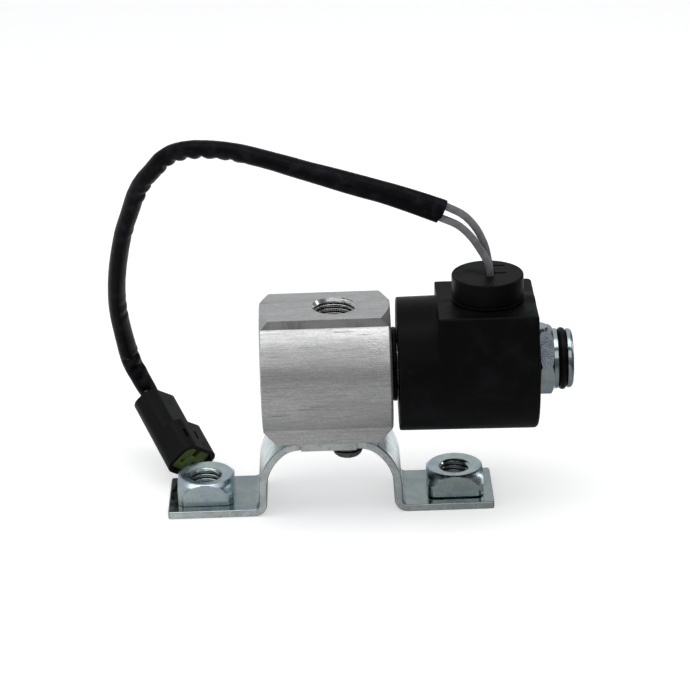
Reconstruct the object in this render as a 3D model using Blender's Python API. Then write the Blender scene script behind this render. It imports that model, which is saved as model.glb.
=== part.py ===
"""A 2/2 solenoid valve clamped to a bent steel bracket, with its lead harness, as separate solids.

Metres, +Z up. +X runs along the valve axis from the body towards the coil nut, and +Y runs to the rear.
Dimensions below are in millimetres and are scaled by MM when each mesh is made. X along the valve axis
is counted from the middle of the valve body.
"""

import math

import bmesh
import bpy
from mathutils import Matrix, Vector

MM = 0.001

# Placement
BODY_X = -12.15
AXIS_Z = 44.0

# Valve body: a round bar with a flat pad above and below, turned to a cone at both ends
BODY_HALF = 19.5
BAR_R = 20.0
END_R = 19.6
TOP_PAD_Z = 19.6
TOP_PAD_Y = 10.8
LOW_PAD_Z = -19.6
LOW_PAD_Y = 13.5
PORT_R = 5.85
PORT_MOUTH_R = 6.9
PORT_X = 3.0
PORT_DEPTH = 10.0
SCREW_X = 5.6
SCREW_Y = 7.0

# Coil
COIL_X0 = 21.4
COIL_STEP = 33.5
COIL_X1 = 62.9
COIL_R0 = 20.1
COIL_R1 = 20.6
COIL_TOP_Z = 20.2
COIL_TOP_Y = 15.3
COIL_EDGE = 0.8
COIL_BORE_R = 7.6
CAP_X = 48.7
CAP_R = 10.7
CAP_TOP_Z = 28.3
LEAD_X = 49.5
LEAD_Y = 0.1

# Coil nut
NUT_FLATS = 19.0
NUT_X0 = 63.9
NUT_X1 = 68.0
NUT_CORNER_DEG = 10.2
NUT_TAIL = 73.9

# Moving parts
STROKE = 1.8
PLUNGER_R = 5.4
TUBE_IN_R = 5.5
TUBE_OUT_R = 6.2

# Bracket
STRIP = 2.4
STRIP_Y = 12.0
FOOT_END = 49.6
PLATE_MID_Z = -21.1
LEG_X = 20.5
FOOT_NUT_X = 38.1
NUT_HOLE_R = 5.4

# Square weld nuts
WELD_FLATS = 17.0
WELD_LOW = -41.45
WELD_TOP = -34.4
WELD_THREAD_R = 4.25
WELD_RIM_R = 8.3

# Harness
WIRE_R = 1.15
SLEEVE_WALL = 0.5
STATION = 5.2
# Centre line of the pair of leads: point, wire-to-wire direction (rear lead to front lead)
LEADS = (
    ((37.35, 0.1, 61.8), (0, -1, 0)),
    ((37.35, 0.1, 67.0), (0, -1, 0)),
    ((37.3, 0.1, 72.5), (0, -1, 0)),
    ((36.6, 0.2, 76.6), (-0.1, -1, 0)),
    ((34.9, 0.3, 81.0), (-0.5, -0.9, -0.3)),
    ((32.4, 0.4, 85.4), (-0.6, -0.7, -0.6)),
    ((28.8, 0.5, 89.2), (-0.4, -0.4, -0.9)),
    ((23.7, 0.8, 91.8), (-0.3, -0.2, -1)),
)
SLEEVE = (
    ((10.0, 1.4, 97.0), (-0.3, -0.4, -1)),
    ((-3.3, 2.2, 101.2), (-0.2, -0.8, -0.8)),
    ((-16.1, 3.5, 105.0), (0, -1, -0.3)),
    ((-29.8, 5.5, 108.9), (0, -1, 0.2)),
    ((-39.9, 7.5, 110.7), (0, -1, 0.4)),
    ((-50.8, 10.0, 110.5), (0, -1, 0.4)),
    ((-57.3, 12.0, 107.9), (0, -1, 0.4)),
    ((-62.1, 14.2, 102.6), (0, -1, 0.4)),
    ((-66.2, 16.8, 97.0), (0, -1, 0.3)),
    ((-69.8, 20.0, 87.9), (0, -1, 0.2)),
    ((-72.5, 22.8, 80.0), (-0.1, -1, 0.1)),
    ((-75.7, 28.0, 64.8), (-0.2, -1, 0)),
    ((-76.7, 33.4, 51.3), (-0.3, -1, 0)),
    ((-75.4, 38.0, 37.5), (-0.5, -0.9, 0)),
    ((-73.9, 40.2, 29.3), (-0.6, -0.8, 0.1)),
)

# Connector: rear end centre, then its side, up and forward directions
PLUG_AT = (-67.3, 34.0, 18.4)
PLUG_SIDE = (0.592, 0.588, -0.551)
PLUG_UP = (0.695, -0.025, 0.719)
PLUG_FRONT = tuple(Vector(PLUG_SIDE).cross(Vector(PLUG_UP)).normalized())
PLUG_HOOD = 15.8
PLUG_LENGTH = 27.5
PLUG_PITCH = 2.5
PLUG_SLOT = 2.3


def clear_scene():
    for obj in list(bpy.data.objects):
        bpy.data.objects.remove(obj, do_unlink=True)


def look(name, colour, metallic, roughness):
    material = bpy.data.materials.new(name)
    material.use_nodes = True
    shader = material.node_tree.nodes["Principled BSDF"]
    shader.inputs["Base Color"].default_value = (*colour, 1.0)
    shader.inputs["Metallic"].default_value = metallic
    shader.inputs["Roughness"].default_value = roughness
    material.diffuse_color = (*colour, 1.0)
    return material


def axes(origin, side, up, front):
    """A frame whose local Z runs along front, at origin, both in millimetres."""
    frame = Matrix.Identity(4)
    for column, vector in enumerate((side, up, front, origin)):
        for row in range(3):
            frame[row][column] = vector[row]
    return frame


def upright(x, y):
    return axes((x + BODY_X, y, AXIS_Z), (1, 0, 0), (0, 1, 0), (0, 0, 1))


ALONG = axes((BODY_X, 0, AXIS_Z), (0, 1, 0), (0, 0, 1), (1, 0, 0))
ACROSS = axes((BODY_X, 0, AXIS_Z), (1, 0, 0), (0, 0, 1), (0, -1, 0))


def bridge(bm, first, second):
    if len(first) == 1 and len(second) == 1:
        return
    count = max(len(first), len(second))
    for i in range(count):
        k = (i + 1) % count
        if len(first) == 1:
            corners = (first[0], second[k], second[i])
        elif len(second) == 1:
            corners = (first[i], first[k], second[0])
        else:
            corners = (first[i], first[k], second[k], second[i])
        bm.faces.new(corners).smooth = True


def lathe(bm, frame, profile, steps, closed=False, phase=0.0):
    """Turns (distance along the axis, radius) points round the frame's Z axis."""
    rings = []
    for along, radius in profile:
        turns = [phase + 2 * math.pi * i / steps for i in range(steps if radius > 0 else 1)]
        ring = [frame @ Vector((radius * math.cos(a), radius * math.sin(a), along)) for a in turns]
        rings.append([bm.verts.new(point) for point in ring])
    for first, second in zip(rings, rings[1:]):
        bridge(bm, first, second)
    if closed:
        bridge(bm, rings[-1], rings[0])
        return
    for ring in (rings[0], rings[-1]):
        if len(ring) > 1:
            bm.faces.new(ring)


def loft(bm, frame, sections):
    """A solid through (distance along the frame's Z axis, outline) sections with equal numbers of points."""
    rings = [[bm.verts.new(frame @ Vector((x, y, along))) for x, y in outline] for along, outline in sections]
    for first, second in zip(rings, rings[1:]):
        bridge(bm, first, second)
    bm.faces.new(rings[0])
    bm.faces.new(rings[-1])


def place(name, bm, material, origin=(0, 0, 0)):
    """Makes the object from a mesh in millimetres, with its origin at the given point."""
    bmesh.ops.recalc_face_normals(bm, faces=bm.faces)
    bmesh.ops.translate(bm, verts=bm.verts, vec=-Vector(origin))
    bmesh.ops.scale(bm, verts=bm.verts, vec=(MM, MM, MM))
    mesh = bpy.data.meshes.new(name)
    bm.to_mesh(mesh)
    bm.free()
    mesh.set_sharp_from_angle(angle=math.radians(32))
    obj = bpy.data.objects.new(name, mesh)
    obj.location = Vector(origin) * MM
    bpy.context.scene.collection.objects.link(obj)
    if material:
        mesh.materials.append(material)
    return obj


def turned(name, frame, profile, material, steps=32, closed=False, phase=0.0, origin=(0, 0, 0)):
    bm = bmesh.new()
    lathe(bm, frame, profile, steps, closed, phase)
    return place(name, bm, material, origin)


def lofted(name, frame, sections, material=None):
    bm = bmesh.new()
    loft(bm, frame, sections)
    return place(name, bm, material)


def extruded(name, frame, outline, low, high, material=None):
    return lofted(name, frame, [(low, outline), (high, outline)], material)


def combine(obj, helper, operation="DIFFERENCE"):
    modifier = obj.modifiers.new(helper.name, "BOOLEAN")
    modifier.operation = operation
    modifier.solver = "EXACT"
    modifier.object = helper
    helper.hide_render = True
    helper.display_type = "WIRE"


def arc(cx, cy, radius, start, end, count):
    """Points on an arc in degrees, both ends included."""
    turns = [math.radians(start + (end - start) * i / count) for i in range(count + 1)]
    return [(cx + radius * math.cos(a), cy + radius * math.sin(a)) for a in turns]


def rounded(half_x, low_y, high_y, radius, count=4):
    points = []
    for i, (sign, y) in enumerate(((1, high_y), (-1, high_y), (-1, low_y), (1, low_y))):
        inward = radius if y == low_y else -radius
        points += arc(sign * (half_x - radius), y + inward, radius, 90 * i, 90 * i + 90, count)
    return points


def torus(name, frame, along, major, minor, material, steps=32, sides=10):
    ring = [(along + minor * math.sin(a), major + minor * math.cos(a))
            for a in (2 * math.pi * (i + 0.5) / sides for i in range(sides))]
    return turned(name, frame, ring, material, steps, closed=True)


def angle_on(radius, across):
    """Angle in degrees from +Y at which the circle has this half width."""
    return math.degrees(math.acos(across / radius))


def body_outline():
    top = angle_on(BAR_R, TOP_PAD_Y)
    low = angle_on(BAR_R, LOW_PAD_Y)
    right = arc(0, 0, BAR_R, -low, top, 22)
    left = arc(0, 0, BAR_R, 180 - top, 180 + low, 22)
    pads = [(TOP_PAD_Y, TOP_PAD_Z), (-TOP_PAD_Y, TOP_PAD_Z)]
    return right + pads + left + [(-LOW_PAD_Y, LOW_PAD_Z), (LOW_PAD_Y, LOW_PAD_Z)]


def coil_outline(radius):
    """Round below, with sides that rise straight off the circle to a flat top with eased edges."""
    reach = math.hypot(COIL_TOP_Y, COIL_TOP_Z)
    start = math.degrees(math.atan2(COIL_TOP_Z, COIL_TOP_Y) - math.acos(radius / reach))
    lean = math.radians(start)
    cz = COIL_TOP_Z - COIL_EDGE
    cy = (radius - COIL_EDGE - cz * math.sin(lean)) / math.cos(lean)
    below = arc(0, 0, radius, -180 - start, start, 30)
    right = arc(cy, cz, COIL_EDGE, start, 90, 3)
    left = arc(-cy, cz, COIL_EDGE, 90, 180 - start, 3)
    return below + right + left


def bracket_outline():
    """Side view of the bent strip: the centre line of one half, offset both ways, then mirrored."""
    first = math.radians(40)
    bend_x = 9.0 + 9.0 * math.sin(first)
    bend_z = PLATE_MID_Z - 9.0 * (1 - math.cos(first))
    big = (LEG_X - bend_x) / (1 - math.sin(first))
    line = []
    for i in range(5):
        a = first * i / 4
        line.append((9.0 + 9.0 * math.sin(a), PLATE_MID_Z - 9.0 * (1 - math.cos(a)), a))
    for i in range(1, 9):
        a = first + (math.pi / 2 - first) * i / 8
        across = bend_x + big * (math.sin(a) - math.sin(first))
        line.append((across, bend_z - big * (math.cos(first) - math.cos(a)), a))
    foot_z = STRIP / 2 - AXIS_Z
    for i in range(6):
        a = math.pi / 2 * (1 - i / 5)
        line.append((LEG_X + 3.0 * (1 - math.sin(a)), foot_z + 3.0 * (1 - math.cos(a)), a))
    line.append((FOOT_END, foot_z, 0.0))
    half = STRIP / 2
    outer = [(x + half * math.sin(a), z + half * math.cos(a)) for x, z, a in line]
    inner = [(x - half * math.sin(a), z - half * math.cos(a)) for x, z, a in line]
    right = outer + inner[::-1]
    left = [(-x, z) for x, z in inner] + [(-x, z) for x, z in outer[::-1]]
    return right + left


def make_body(metal):
    body = extruded("valve_body", ALONG, body_outline(), -24, 24, metal)
    ends = [(-BODY_HALF, END_R), (-BODY_HALF + 8, END_R + 8), (BODY_HALF - 8, END_R + 8), (BODY_HALF, END_R)]
    combine(body, turned("cut_body_ends", ALONG, ends, None, 72), "INTERSECT")
    bore = [
        (-21, PORT_MOUTH_R + 1.5), (-BODY_HALF, PORT_MOUTH_R), (-18.5, PORT_R), (-9.5, PORT_R),
        (-9.5, 3.2), (-7.6, 3.2), (-7.6, 4.9), (-4.0, 4.9), (-4.0, 7.0), (8.0, 7.0), (8.0, 9.2),
        (18.7, 9.2), (BODY_HALF, 10.0), (21, 11.5),
    ]
    combine(body, turned("cut_body_bore", ALONG, bore, None, 28))
    port = [
        (4.0, 3.5), (TOP_PAD_Z - PORT_DEPTH, 3.5), (TOP_PAD_Z - PORT_DEPTH, PORT_R),
        (TOP_PAD_Z - 1.05, PORT_R), (TOP_PAD_Z, PORT_MOUTH_R), (TOP_PAD_Z + 2, PORT_MOUTH_R + 2),
    ]
    combine(body, turned("cut_top_port", upright(PORT_X, 0), port, None, 28))
    for tag, sign in (("front", 1), ("rear", -1)):
        hole = [(LOW_PAD_Z - 2, 2.65), (-11.5, 2.65)]
        combine(body, turned(f"cut_screw_{tag}", upright(sign * SCREW_X, -sign * SCREW_Y), hole, None, 16))


def make_cartridge(steel, rubber, black):
    profile = [
        (-3.6, 4.6), (-3.6, 6.4), (-3.3, 6.7), (-2.7, 6.7), (-2.7, 5.5), (-1.1, 5.5), (-1.1, 6.7), (8.3, 6.7),
        (8.3, 8.6), (8.6, 8.9), (19.0, 8.9), (19.0, 7.0), (21.1, 7.0), (21.1, 6.45), (12.0, 6.45),
        (12.0, TUBE_IN_R), (6.0, TUBE_IN_R), (6.0, 4.6),
    ]
    cartridge = turned("valve_cartridge", ALONG, profile, steel, 24, closed=True)
    combine(cartridge, turned("cut_cross_z", upright(PORT_X, 0), [(-10, 2.2), (10, 2.2)], None, 16))
    sideways = axes((BODY_X + PORT_X, 0, AXIS_Z), (0, 0, 1), (1, 0, 0), (0, 1, 0))
    combine(cartridge, turned("cut_cross_y", sideways, [(-10, 2.2), (10, 2.2)], None, 16))
    torus("cartridge_o_ring", ALONG, -1.9, 6.25, 0.62, rubber, 24, 8)
    washer = [(19.75, 7.3), (19.75, 10.8), (20.1, 11.2), (20.75, 11.2), (21.1, 10.8), (21.1, 7.3)]
    turned("coil_seal_washer", ALONG, washer, black, 28, closed=True)


def make_seat(brass):
    profile = [(-7.3, 1.9), (-7.3, 4.6), (-4.6, 4.6), (-4.6, 2.9), (-3.95, 2.4), (-3.95, 1.9)]
    turned("valve_seat", ALONG, profile, brass, 24, closed=True)


def make_plunger(steel, rubber):
    origin = (BODY_X, 0, AXIS_Z)
    profile = [
        (-2.0, 0), (-2.0, 3.0), (-3.4, 3.0), (-3.4, 3.4), (-3.2, 3.6), (0.6, 3.6), (1.4, 2.0), (18.6, 2.0),
        (19.2, 5.0), (19.6, PLUNGER_R), (41.9, PLUNGER_R), (42.3, 5.0), (42.3, 2.4), (34.0, 2.4), (34.0, 0),
    ]
    turned("plunger", ALONG, profile, steel, 24, origin=origin)
    pad = [(-3.75, 0), (-3.75, 2.6), (-3.55, 2.8), (-2.2, 2.8), (-2.2, 0)]
    turned("poppet_seal", ALONG, pad, rubber, 24, origin=origin)


def make_tube(steel, stainless):
    tube = [(12.4, TUBE_IN_R), (12.4, TUBE_OUT_R), (60.0, TUBE_OUT_R), (60.0, TUBE_IN_R)]
    turned("core_tube", ALONG, tube, stainless, 24, closed=True)
    core = [
        (50.0, 0), (50.0, 2.4), (44.3, 2.4), (44.3, 4.9), (44.7, 5.3), (60.3, 5.3), (60.3, 6.2),
        (62.9, 6.2), (62.9, 4.9), (66.2, 4.9), (66.6, 4.5), (66.6, 0),
    ]
    turned("fixed_core", ALONG, core, steel, 24)


def sweep(bm, centres, radius, sides):
    """A round bar through the centres, closed at both ends."""
    up = Vector((0, 0, 1))
    rings = []
    for i, centre in enumerate(centres):
        ahead = centres[min(i + 1, len(centres) - 1)] - centres[max(i - 1, 0)]
        ahead.normalize()
        up = (up - ahead * up.dot(ahead)).normalized()
        side = ahead.cross(up)
        turns = [2 * math.pi * k / sides for k in range(sides)]
        rings.append([bm.verts.new(centre + (up * math.cos(a) + side * math.sin(a)) * radius) for a in turns])
    for first, second in zip(rings, rings[1:]):
        bridge(bm, first, second)
    bm.faces.new(rings[0])
    bm.faces.new(rings[-1])


def make_spring(wire):
    start, length, turns, steps = 34.6, 14.8, 7.5, 10
    count = int(turns * steps)
    centres = []
    for i in range(count + 1):
        a = 2 * math.pi * i / steps
        centres.append(ALONG @ Vector((1.75 * math.cos(a), 1.75 * math.sin(a), start + length * i / count)))
    bm = bmesh.new()
    sweep(bm, centres, 0.3, 5)
    place("return_spring", bm, wire, (BODY_X, 0, AXIS_Z))


def make_coil(black, copper, plastic, steel):
    middle = COIL_R0 + (COIL_R1 - COIL_R0) * (COIL_STEP - COIL_X0) / (COIL_X1 - COIL_X0)
    sections = [(COIL_STEP, coil_outline(middle + 0.02))]
    for back, inset in ((1.2, 0.0), (0.6, 0.2), (0.2, 0.55), (0.0, 1.1)):
        share = 1 - inset / COIL_R1
        rim = [(y * share, z * share) for y, z in coil_outline(COIL_R1)]
        sections.append((COIL_X1 - back, rim))
    shell = lofted("coil_housing", ALONG, sections, black)
    neck = [(COIL_X0, COIL_R0 - 0.5), (COIL_X0 + 0.5, COIL_R0), (COIL_STEP + 3, middle)]
    combine(shell, turned("add_coil_neck", ALONG, neck, None, 64), "UNION")
    hollow = [
        (COIL_X0 - 2, COIL_BORE_R), (24.6, COIL_BORE_R), (24.6, 17.0), (59.8, 17.0),
        (59.8, COIL_BORE_R), (COIL_X1 + 2, COIL_BORE_R),
    ]
    combine(shell, turned("cut_coil_hollow", ALONG, hollow, None, 24))
    well = [(12.0, 8.4), (COIL_TOP_Z + 2, 8.4)]
    combine(shell, turned("cut_cap_well", upright(CAP_X, 0), well, None, 32))
    bobbin = [
        (26.7, 7.9), (26.7, 15.0), (27.9, 15.0), (27.9, 8.9), (56.5, 8.9), (56.5, 15.0),
        (57.7, 15.0), (57.7, 7.9),
    ]
    turned("coil_bobbin", ALONG, bobbin, plastic, 24, closed=True)
    winding = [(28.2, 9.2), (28.2, 14.6), (56.2, 14.6), (56.2, 9.2)]
    turned("coil_winding", ALONG, winding, copper, 24, closed=True)
    for name, low in (("pole_plate_front", 24.9), ("pole_plate_rear", 58.0)):
        plate = [(low, 7.9), (low, 16.7), (low + 1.5, 16.7), (low + 1.5, 7.9)]
        turned(name, ALONG, plate, steel, 24, closed=True)
    tube = [(26.7, 15.4), (26.7, 16.7), (57.7, 16.7), (57.7, 15.4)]
    turned("flux_tube", ALONG, tube, steel, 24, closed=True)


def make_cap(black):
    profile = [
        (17.4, 0), (17.4, 8.1), (20.5, 8.1), (20.5, 10.0), (21.2, 10.0), (21.5, CAP_R),
        (CAP_TOP_Z - 0.4, CAP_R), (CAP_TOP_Z, CAP_R - 0.4), (CAP_TOP_Z, 0),
    ]
    cap = turned("lead_cap", upright(CAP_X, 0), profile, black, 32)
    slot = arc(0, 1.35, 1.4, 0, 180, 8) + arc(0, -1.35, 1.4, 180, 360, 8)
    combine(cap, extruded("cut_lead_slot", upright(LEAD_X, LEAD_Y), slot, 10, 35))


def make_coil_nut(zinc, rubber):
    corner = NUT_FLATS / 2 / math.cos(math.radians(30))
    turns = [math.radians(180 - NUT_CORNER_DEG + 60 * i) for i in range(6)]
    points = [(corner * math.cos(a), corner * math.sin(a)) for a in turns]
    nut = extruded("coil_nut", ALONG, points, NUT_X0 - 1, NUT_X1 + 1, zinc)
    flat = NUT_FLATS / 2
    cone = [
        (NUT_X0, flat + 1.0), (NUT_X0 + 0.6, flat + 2.0), (NUT_X1 - 1.1, flat + 2.0), (NUT_X1, flat + 0.1),
    ]
    combine(nut, turned("cut_nut_cone", ALONG, cone, None, 48), "INTERSECT")
    tail = [
        (NUT_X1 - 1, 9.15), (69.2, 9.15), (69.4, 8.95), (69.4, 6.75), (72.0, 6.75), (72.0, 8.7), (72.3, 9.0),
        (NUT_TAIL - 0.6, 9.0), (NUT_TAIL, 8.4),
    ]
    combine(nut, turned("add_nut_tail", ALONG, tail, None, 32), "UNION")
    combine(nut, turned("cut_nut_bore", ALONG, [(NUT_X0 - 2, 5.2), (68.2, 5.2), (69.2, 3.6)], None, 20))
    torus("coil_nut_o_ring", ALONG, 70.7, 8.16, 1.22, rubber, 32, 10)


def make_tab_washer(zinc):
    """A flat washer under the nut, with one tongue bent over the facet that faces up."""
    disc = [(63.05, 5.3), (63.05, 9.3), (63.7, 9.3), (63.7, 5.3)]
    washer = turned("tab_washer", ALONG, disc, zinc, 32, closed=True)
    facing = math.radians(180 - NUT_CORNER_DEG - 90)
    up = (0, math.cos(facing), math.sin(facing))
    side = (0, math.sin(facing), -math.cos(facing))
    flat = NUT_FLATS / 2
    tongue = axes((BODY_X, 0, AXIS_Z), (1, 0, 0), tuple(-v for v in side), up)
    outline = [
        (63.05, -5.3), (64.3, -5.1), (65.6, -4.2), (66.5, -2.3), (66.8, 0),
        (66.5, 2.3), (65.6, 4.2), (64.3, 5.1), (63.05, 5.3),
    ]
    combine(washer, extruded("add_washer_tongue", tongue, outline, flat + 0.15, flat + 0.8), "UNION")
    root = [(63.05, -4.4), (63.7, -4.4), (63.7, 4.4), (63.05, 4.4)]
    combine(washer, extruded("add_washer_root", tongue, root, 7.0, flat + 0.5), "UNION")


def make_bracket(zinc):
    strip = extruded("mounting_bracket", ACROSS, bracket_outline(), -STRIP_Y, STRIP_Y, zinc)
    tab = [(-8.4, -22.3), (8.2, -22.3), (8.2, -19.9), (-8.4, -19.9)]
    combine(strip, extruded("add_edge_tab", ACROSS, tab, STRIP_Y - 1, STRIP_Y + 0.6), "UNION")
    for tag, x in (("left", -FOOT_NUT_X), ("right", FOOT_NUT_X)):
        hole = [(-AXIS_Z - 3, NUT_HOLE_R), (-38, NUT_HOLE_R)]
        combine(strip, turned(f"cut_foot_{tag}", upright(x, 0), hole, None, 24))
    for tag, sign in (("front", 1), ("rear", -1)):
        hole = [(-26, 2.8), (-16, 2.8)]
        combine(strip, turned(f"cut_plate_{tag}", upright(sign * SCREW_X, -sign * SCREW_Y), hole, None, 16))


def make_weld_nuts(zinc):
    half = WELD_FLATS / 2
    for tag, x, low, top in (
        ("left", -FOOT_NUT_X, WELD_LOW, WELD_TOP), ("right", FOOT_NUT_X, WELD_LOW + 0.3, WELD_TOP + 0.1),
    ):
        nut = extruded(f"weld_nut_{tag}", upright(x, 0), rounded(half, -half, half, 2.5), low, top + 1, zinc)
        cone = [(low - 1, 12.5), (top - 4.2, 12.5), (top - 0.2, WELD_RIM_R + 0.2), (top, WELD_RIM_R)]
        combine(nut, turned(f"cut_weld_cone_{tag}", upright(x, 0), cone, None, 48), "INTERSECT")
        thread = [
            (low - 1, WELD_THREAD_R), (top - 0.9, WELD_THREAD_R), (top, 5.1), (top + 1, 6.05),
        ]
        combine(nut, turned(f"cut_weld_thread_{tag}", upright(x, 0), thread, None, 24))


def make_screws(steel):
    top = PLATE_MID_Z - STRIP / 2
    for tag, sign in (("front", 1), ("rear", -1)):
        frame = upright(sign * SCREW_X, -sign * SCREW_Y)
        bm = bmesh.new()
        ends = []
        for i in range(25):
            a = math.radians(6 + 348 * i / 24)
            section = ((2.85, top - 1.35), (4.4, top - 1.35), (4.4, top - 0.2), (2.85, top - 0.2))
            points = [frame @ Vector((r * math.cos(a), r * math.sin(a), z)) for r, z in section]
            ends.append([bm.verts.new(point) for point in points])
        for first, second in zip(ends, ends[1:]):
            bridge(bm, first, second)
        bm.faces.new(ends[0])
        bm.faces.new(ends[-1])
        place(f"spring_washer_{tag}", bm, steel)
        profile = [
            (top - 4.0, 0), (top - 4.0, 2.7), (top - 3.5, 3.7), (top - 2.6, 4.4), (top - 1.55, 4.6),
            (top - 1.55, 2.4), (-13.0, 2.4), (-12.5, 1.9), (-12.5, 0),
        ]
        screw = turned(f"bracket_screw_{tag}", frame, profile, steel, 20)
        key = arc(0, 0, 1.7, 0, 300, 5)
        combine(screw, extruded(f"cut_screw_key_{tag}", frame, key, top - 6, top - 2.7))


def hermite(points, spacing):
    """Evenly spaced (point, blend) samples of a smooth curve through the points, by arc length."""
    count = len(points)
    spans = [(points[i + 1] - points[i]).length for i in range(count - 1)]
    slopes = []
    for i in range(count):
        low, high = max(i - 1, 0), min(i + 1, count - 1)
        slopes.append((points[high] - points[low]) / sum(spans[low:high]))
    dense = []
    for i, span in enumerate(spans):
        for k in range(24):
            t = k / 24
            a, b = 2 * t**3 - 3 * t**2 + 1, t**3 - 2 * t**2 + t
            c, d = -2 * t**3 + 3 * t**2, t**3 - t**2
            point = points[i] * a + slopes[i] * b * span + points[i + 1] * c + slopes[i + 1] * d * span
            dense.append((point, i + t))
    dense.append((points[-1], float(count - 1)))
    total = sum((b[0] - a[0]).length for a, b in zip(dense, dense[1:]))
    steps = max(2, round(total / spacing))
    samples, walked, at = [dense[0]], 0.0, 0
    for i in range(1, steps):
        goal = total * i / steps
        while walked + (dense[at + 1][0] - dense[at][0]).length < goal:
            walked += (dense[at + 1][0] - dense[at][0]).length
            at += 1
        part = (goal - walked) / (dense[at + 1][0] - dense[at][0]).length
        blend = dense[at][1] * (1 - part) + dense[at + 1][1] * part
        samples.append((dense[at][0].lerp(dense[at + 1][0], part), blend))
    return samples + [dense[-1]]


def harness():
    """Stations of the lead pair: [centre, pair direction, half the lead spacing, sleeved or not, forward]."""
    plug = axes(PLUG_AT, PLUG_SIDE, PLUG_UP, PLUG_FRONT)
    side = -Vector(PLUG_SIDE)
    arrive = [(plug @ Vector((0, 0, t)), side) for t in (-4.0, 3.0)]
    free = [(Vector(point), Vector(pair)) for point, pair in LEADS]
    covered = [free[-1]] + [(Vector(point), Vector(pair)) for point, pair in SLEEVE] + arrive
    stations = []
    for group, in_sleeve in ((free, False), (covered, True)):
        samples = hermite([point for point, pair in group], STATION)
        for number, (point, blend) in enumerate(samples):
            if not in_sleeve and number == len(samples) - 1:
                continue
            at = min(int(blend), len(group) - 2)
            pair = group[at][1].normalized().lerp(group[at + 1][1].normalized(), blend - at)
            share = number / (len(samples) - 1)
            gap = 1.35 + 0.5 * share**2 if not in_sleeve else max(1.45, 1.85 - share * 5)
            stations.append([point, pair, gap, in_sleeve])
    for t in (5.4, 8.4, 11.4):
        stations.append([plug @ Vector((0, 0, t)), side, PLUG_PITCH, False])
    for i, station in enumerate(stations):
        ahead = stations[min(i + 1, len(stations) - 1)][0] - stations[max(i - 1, 0)][0]
        ahead.normalize()
        pair = station[1] - ahead * station[1].dot(ahead)
        station[1] = pair.normalized()
        station.append(ahead)
    return stations


def make_wires(stations, grey):
    for name, sign in (("lead_wire_front", 1), ("lead_wire_rear", -1)):
        curve = bpy.data.curves.new(name, "CURVE")
        curve.dimensions = "3D"
        curve.bevel_depth = WIRE_R * MM
        curve.bevel_resolution = 2
        curve.use_fill_caps = True
        spline = curve.splines.new("POLY")
        spline.points.add(len(stations) - 1)
        for point, (centre, pair, gap, in_sleeve, ahead) in zip(spline.points, stations):
            at = (centre + pair * gap * sign) * MM
            point.co = (at.x, at.y, at.z, 1.0)
        curve.materials.append(grey)
        obj = bpy.data.objects.new(name, curve)
        bpy.context.scene.collection.objects.link(obj)


def make_sleeve(stations, black):
    covered = [station for station in stations if station[3]]
    steps = 12
    bm = bmesh.new()
    outer, inner = [], []
    for number, (centre, pair, gap, in_sleeve, ahead) in enumerate(covered):
        flare = max(0.0, 1 - number / 4)
        wide, thin = 3.35 + 0.35 * flare, 2.75 + 0.15 * flare
        other = ahead.cross(pair)
        for rings, wall in ((outer, 0.0), (inner, SLEEVE_WALL)):
            ring = []
            for k in range(steps):
                a = 2 * math.pi * k / steps
                offset = pair * (wide - wall) * math.cos(a) + other * (thin - wall) * math.sin(a)
                ring.append(bm.verts.new(centre + offset))
            rings.append(ring)
    loop = outer + inner[::-1]
    for first, second in zip(loop, loop[1:]):
        bridge(bm, first, second)
    bridge(bm, loop[-1], loop[0])
    place("cable_sleeve", bm, black)


def make_connector(black, green, rubber, brass):
    plug = axes(PLUG_AT, PLUG_SIDE, PLUG_UP, PLUG_FRONT)
    hood = rounded(7.15, -4.75, 7.45, 3.6)
    housing = extruded("connector_housing", plug, hood, PLUG_HOOD, PLUG_LENGTH, black)
    rear = rounded(7.15, -4.75, 4.75, 3.6)
    combine(housing, extruded("add_plug_rear", plug, rear, 0, PLUG_HOOD + 2), "UNION")
    combine(housing, extruded("cut_plug_rear", plug, rounded(4.8, -3.3, 3.3, 2.6), -2, 9))
    combine(housing, extruded("cut_plug_mouth", plug, rounded(5.9, -3.6, 6.1, 2.5), 17.6, PLUG_LENGTH + 2))
    face = rounded(5.6, -3.3, 5.8, 2.2, 3)
    lock = extruded("connector_retainer", plug, face, 17.9, PLUG_LENGTH - 1.1, green)
    notch = [(-1.1, 2.8), (1.1, 2.8), (1.1, 6.8), (-1.1, 6.8)]
    combine(lock, extruded("cut_retainer_notch", plug, notch, 23.0, 28))
    seal = extruded("connector_wire_seal", plug, rounded(4.5, -3.0, 3.0, 2.3), 5.8, 8.6, rubber)
    for tag, sign in (("a", -1), ("b", 1)):
        centre = plug @ Vector((sign * PLUG_PITCH, 0, 0))
        lane = axes(centre, PLUG_SIDE, PLUG_UP, PLUG_FRONT)
        combine(housing, turned(f"cut_lane_{tag}", lane, [(8, 1.5), (18.5, 1.5)], None, 16))
        profile = [(11.7, 0), (11.7, 1.0), (12.0, 1.15), (24.0, 1.15), (24.0, 0.6), (17.5, 0.6), (17.5, 0)]
        turned(f"connector_terminal_{tag}", lane, profile, brass, 12)
        x = sign * PLUG_SLOT - 2.7
        key = [(x - 0.5, 4.6), (x + 0.5, 4.6), (x + 0.5, 9.0), (x - 0.5, 9.0)]
        combine(housing, extruded(f"cut_slot_{tag}", plug, key, 20.0, 23.2))
        window = [(16, 1.35), (24.4, 1.35), (24.4, 0.8), (28, 0.8)]
        combine(lock, turned(f"cut_window_{tag}", lane, window, None, 12))
        combine(seal, turned(f"cut_seal_{tag}", lane, [(4, 1.4), (10, 1.4)], None, 12))


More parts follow.
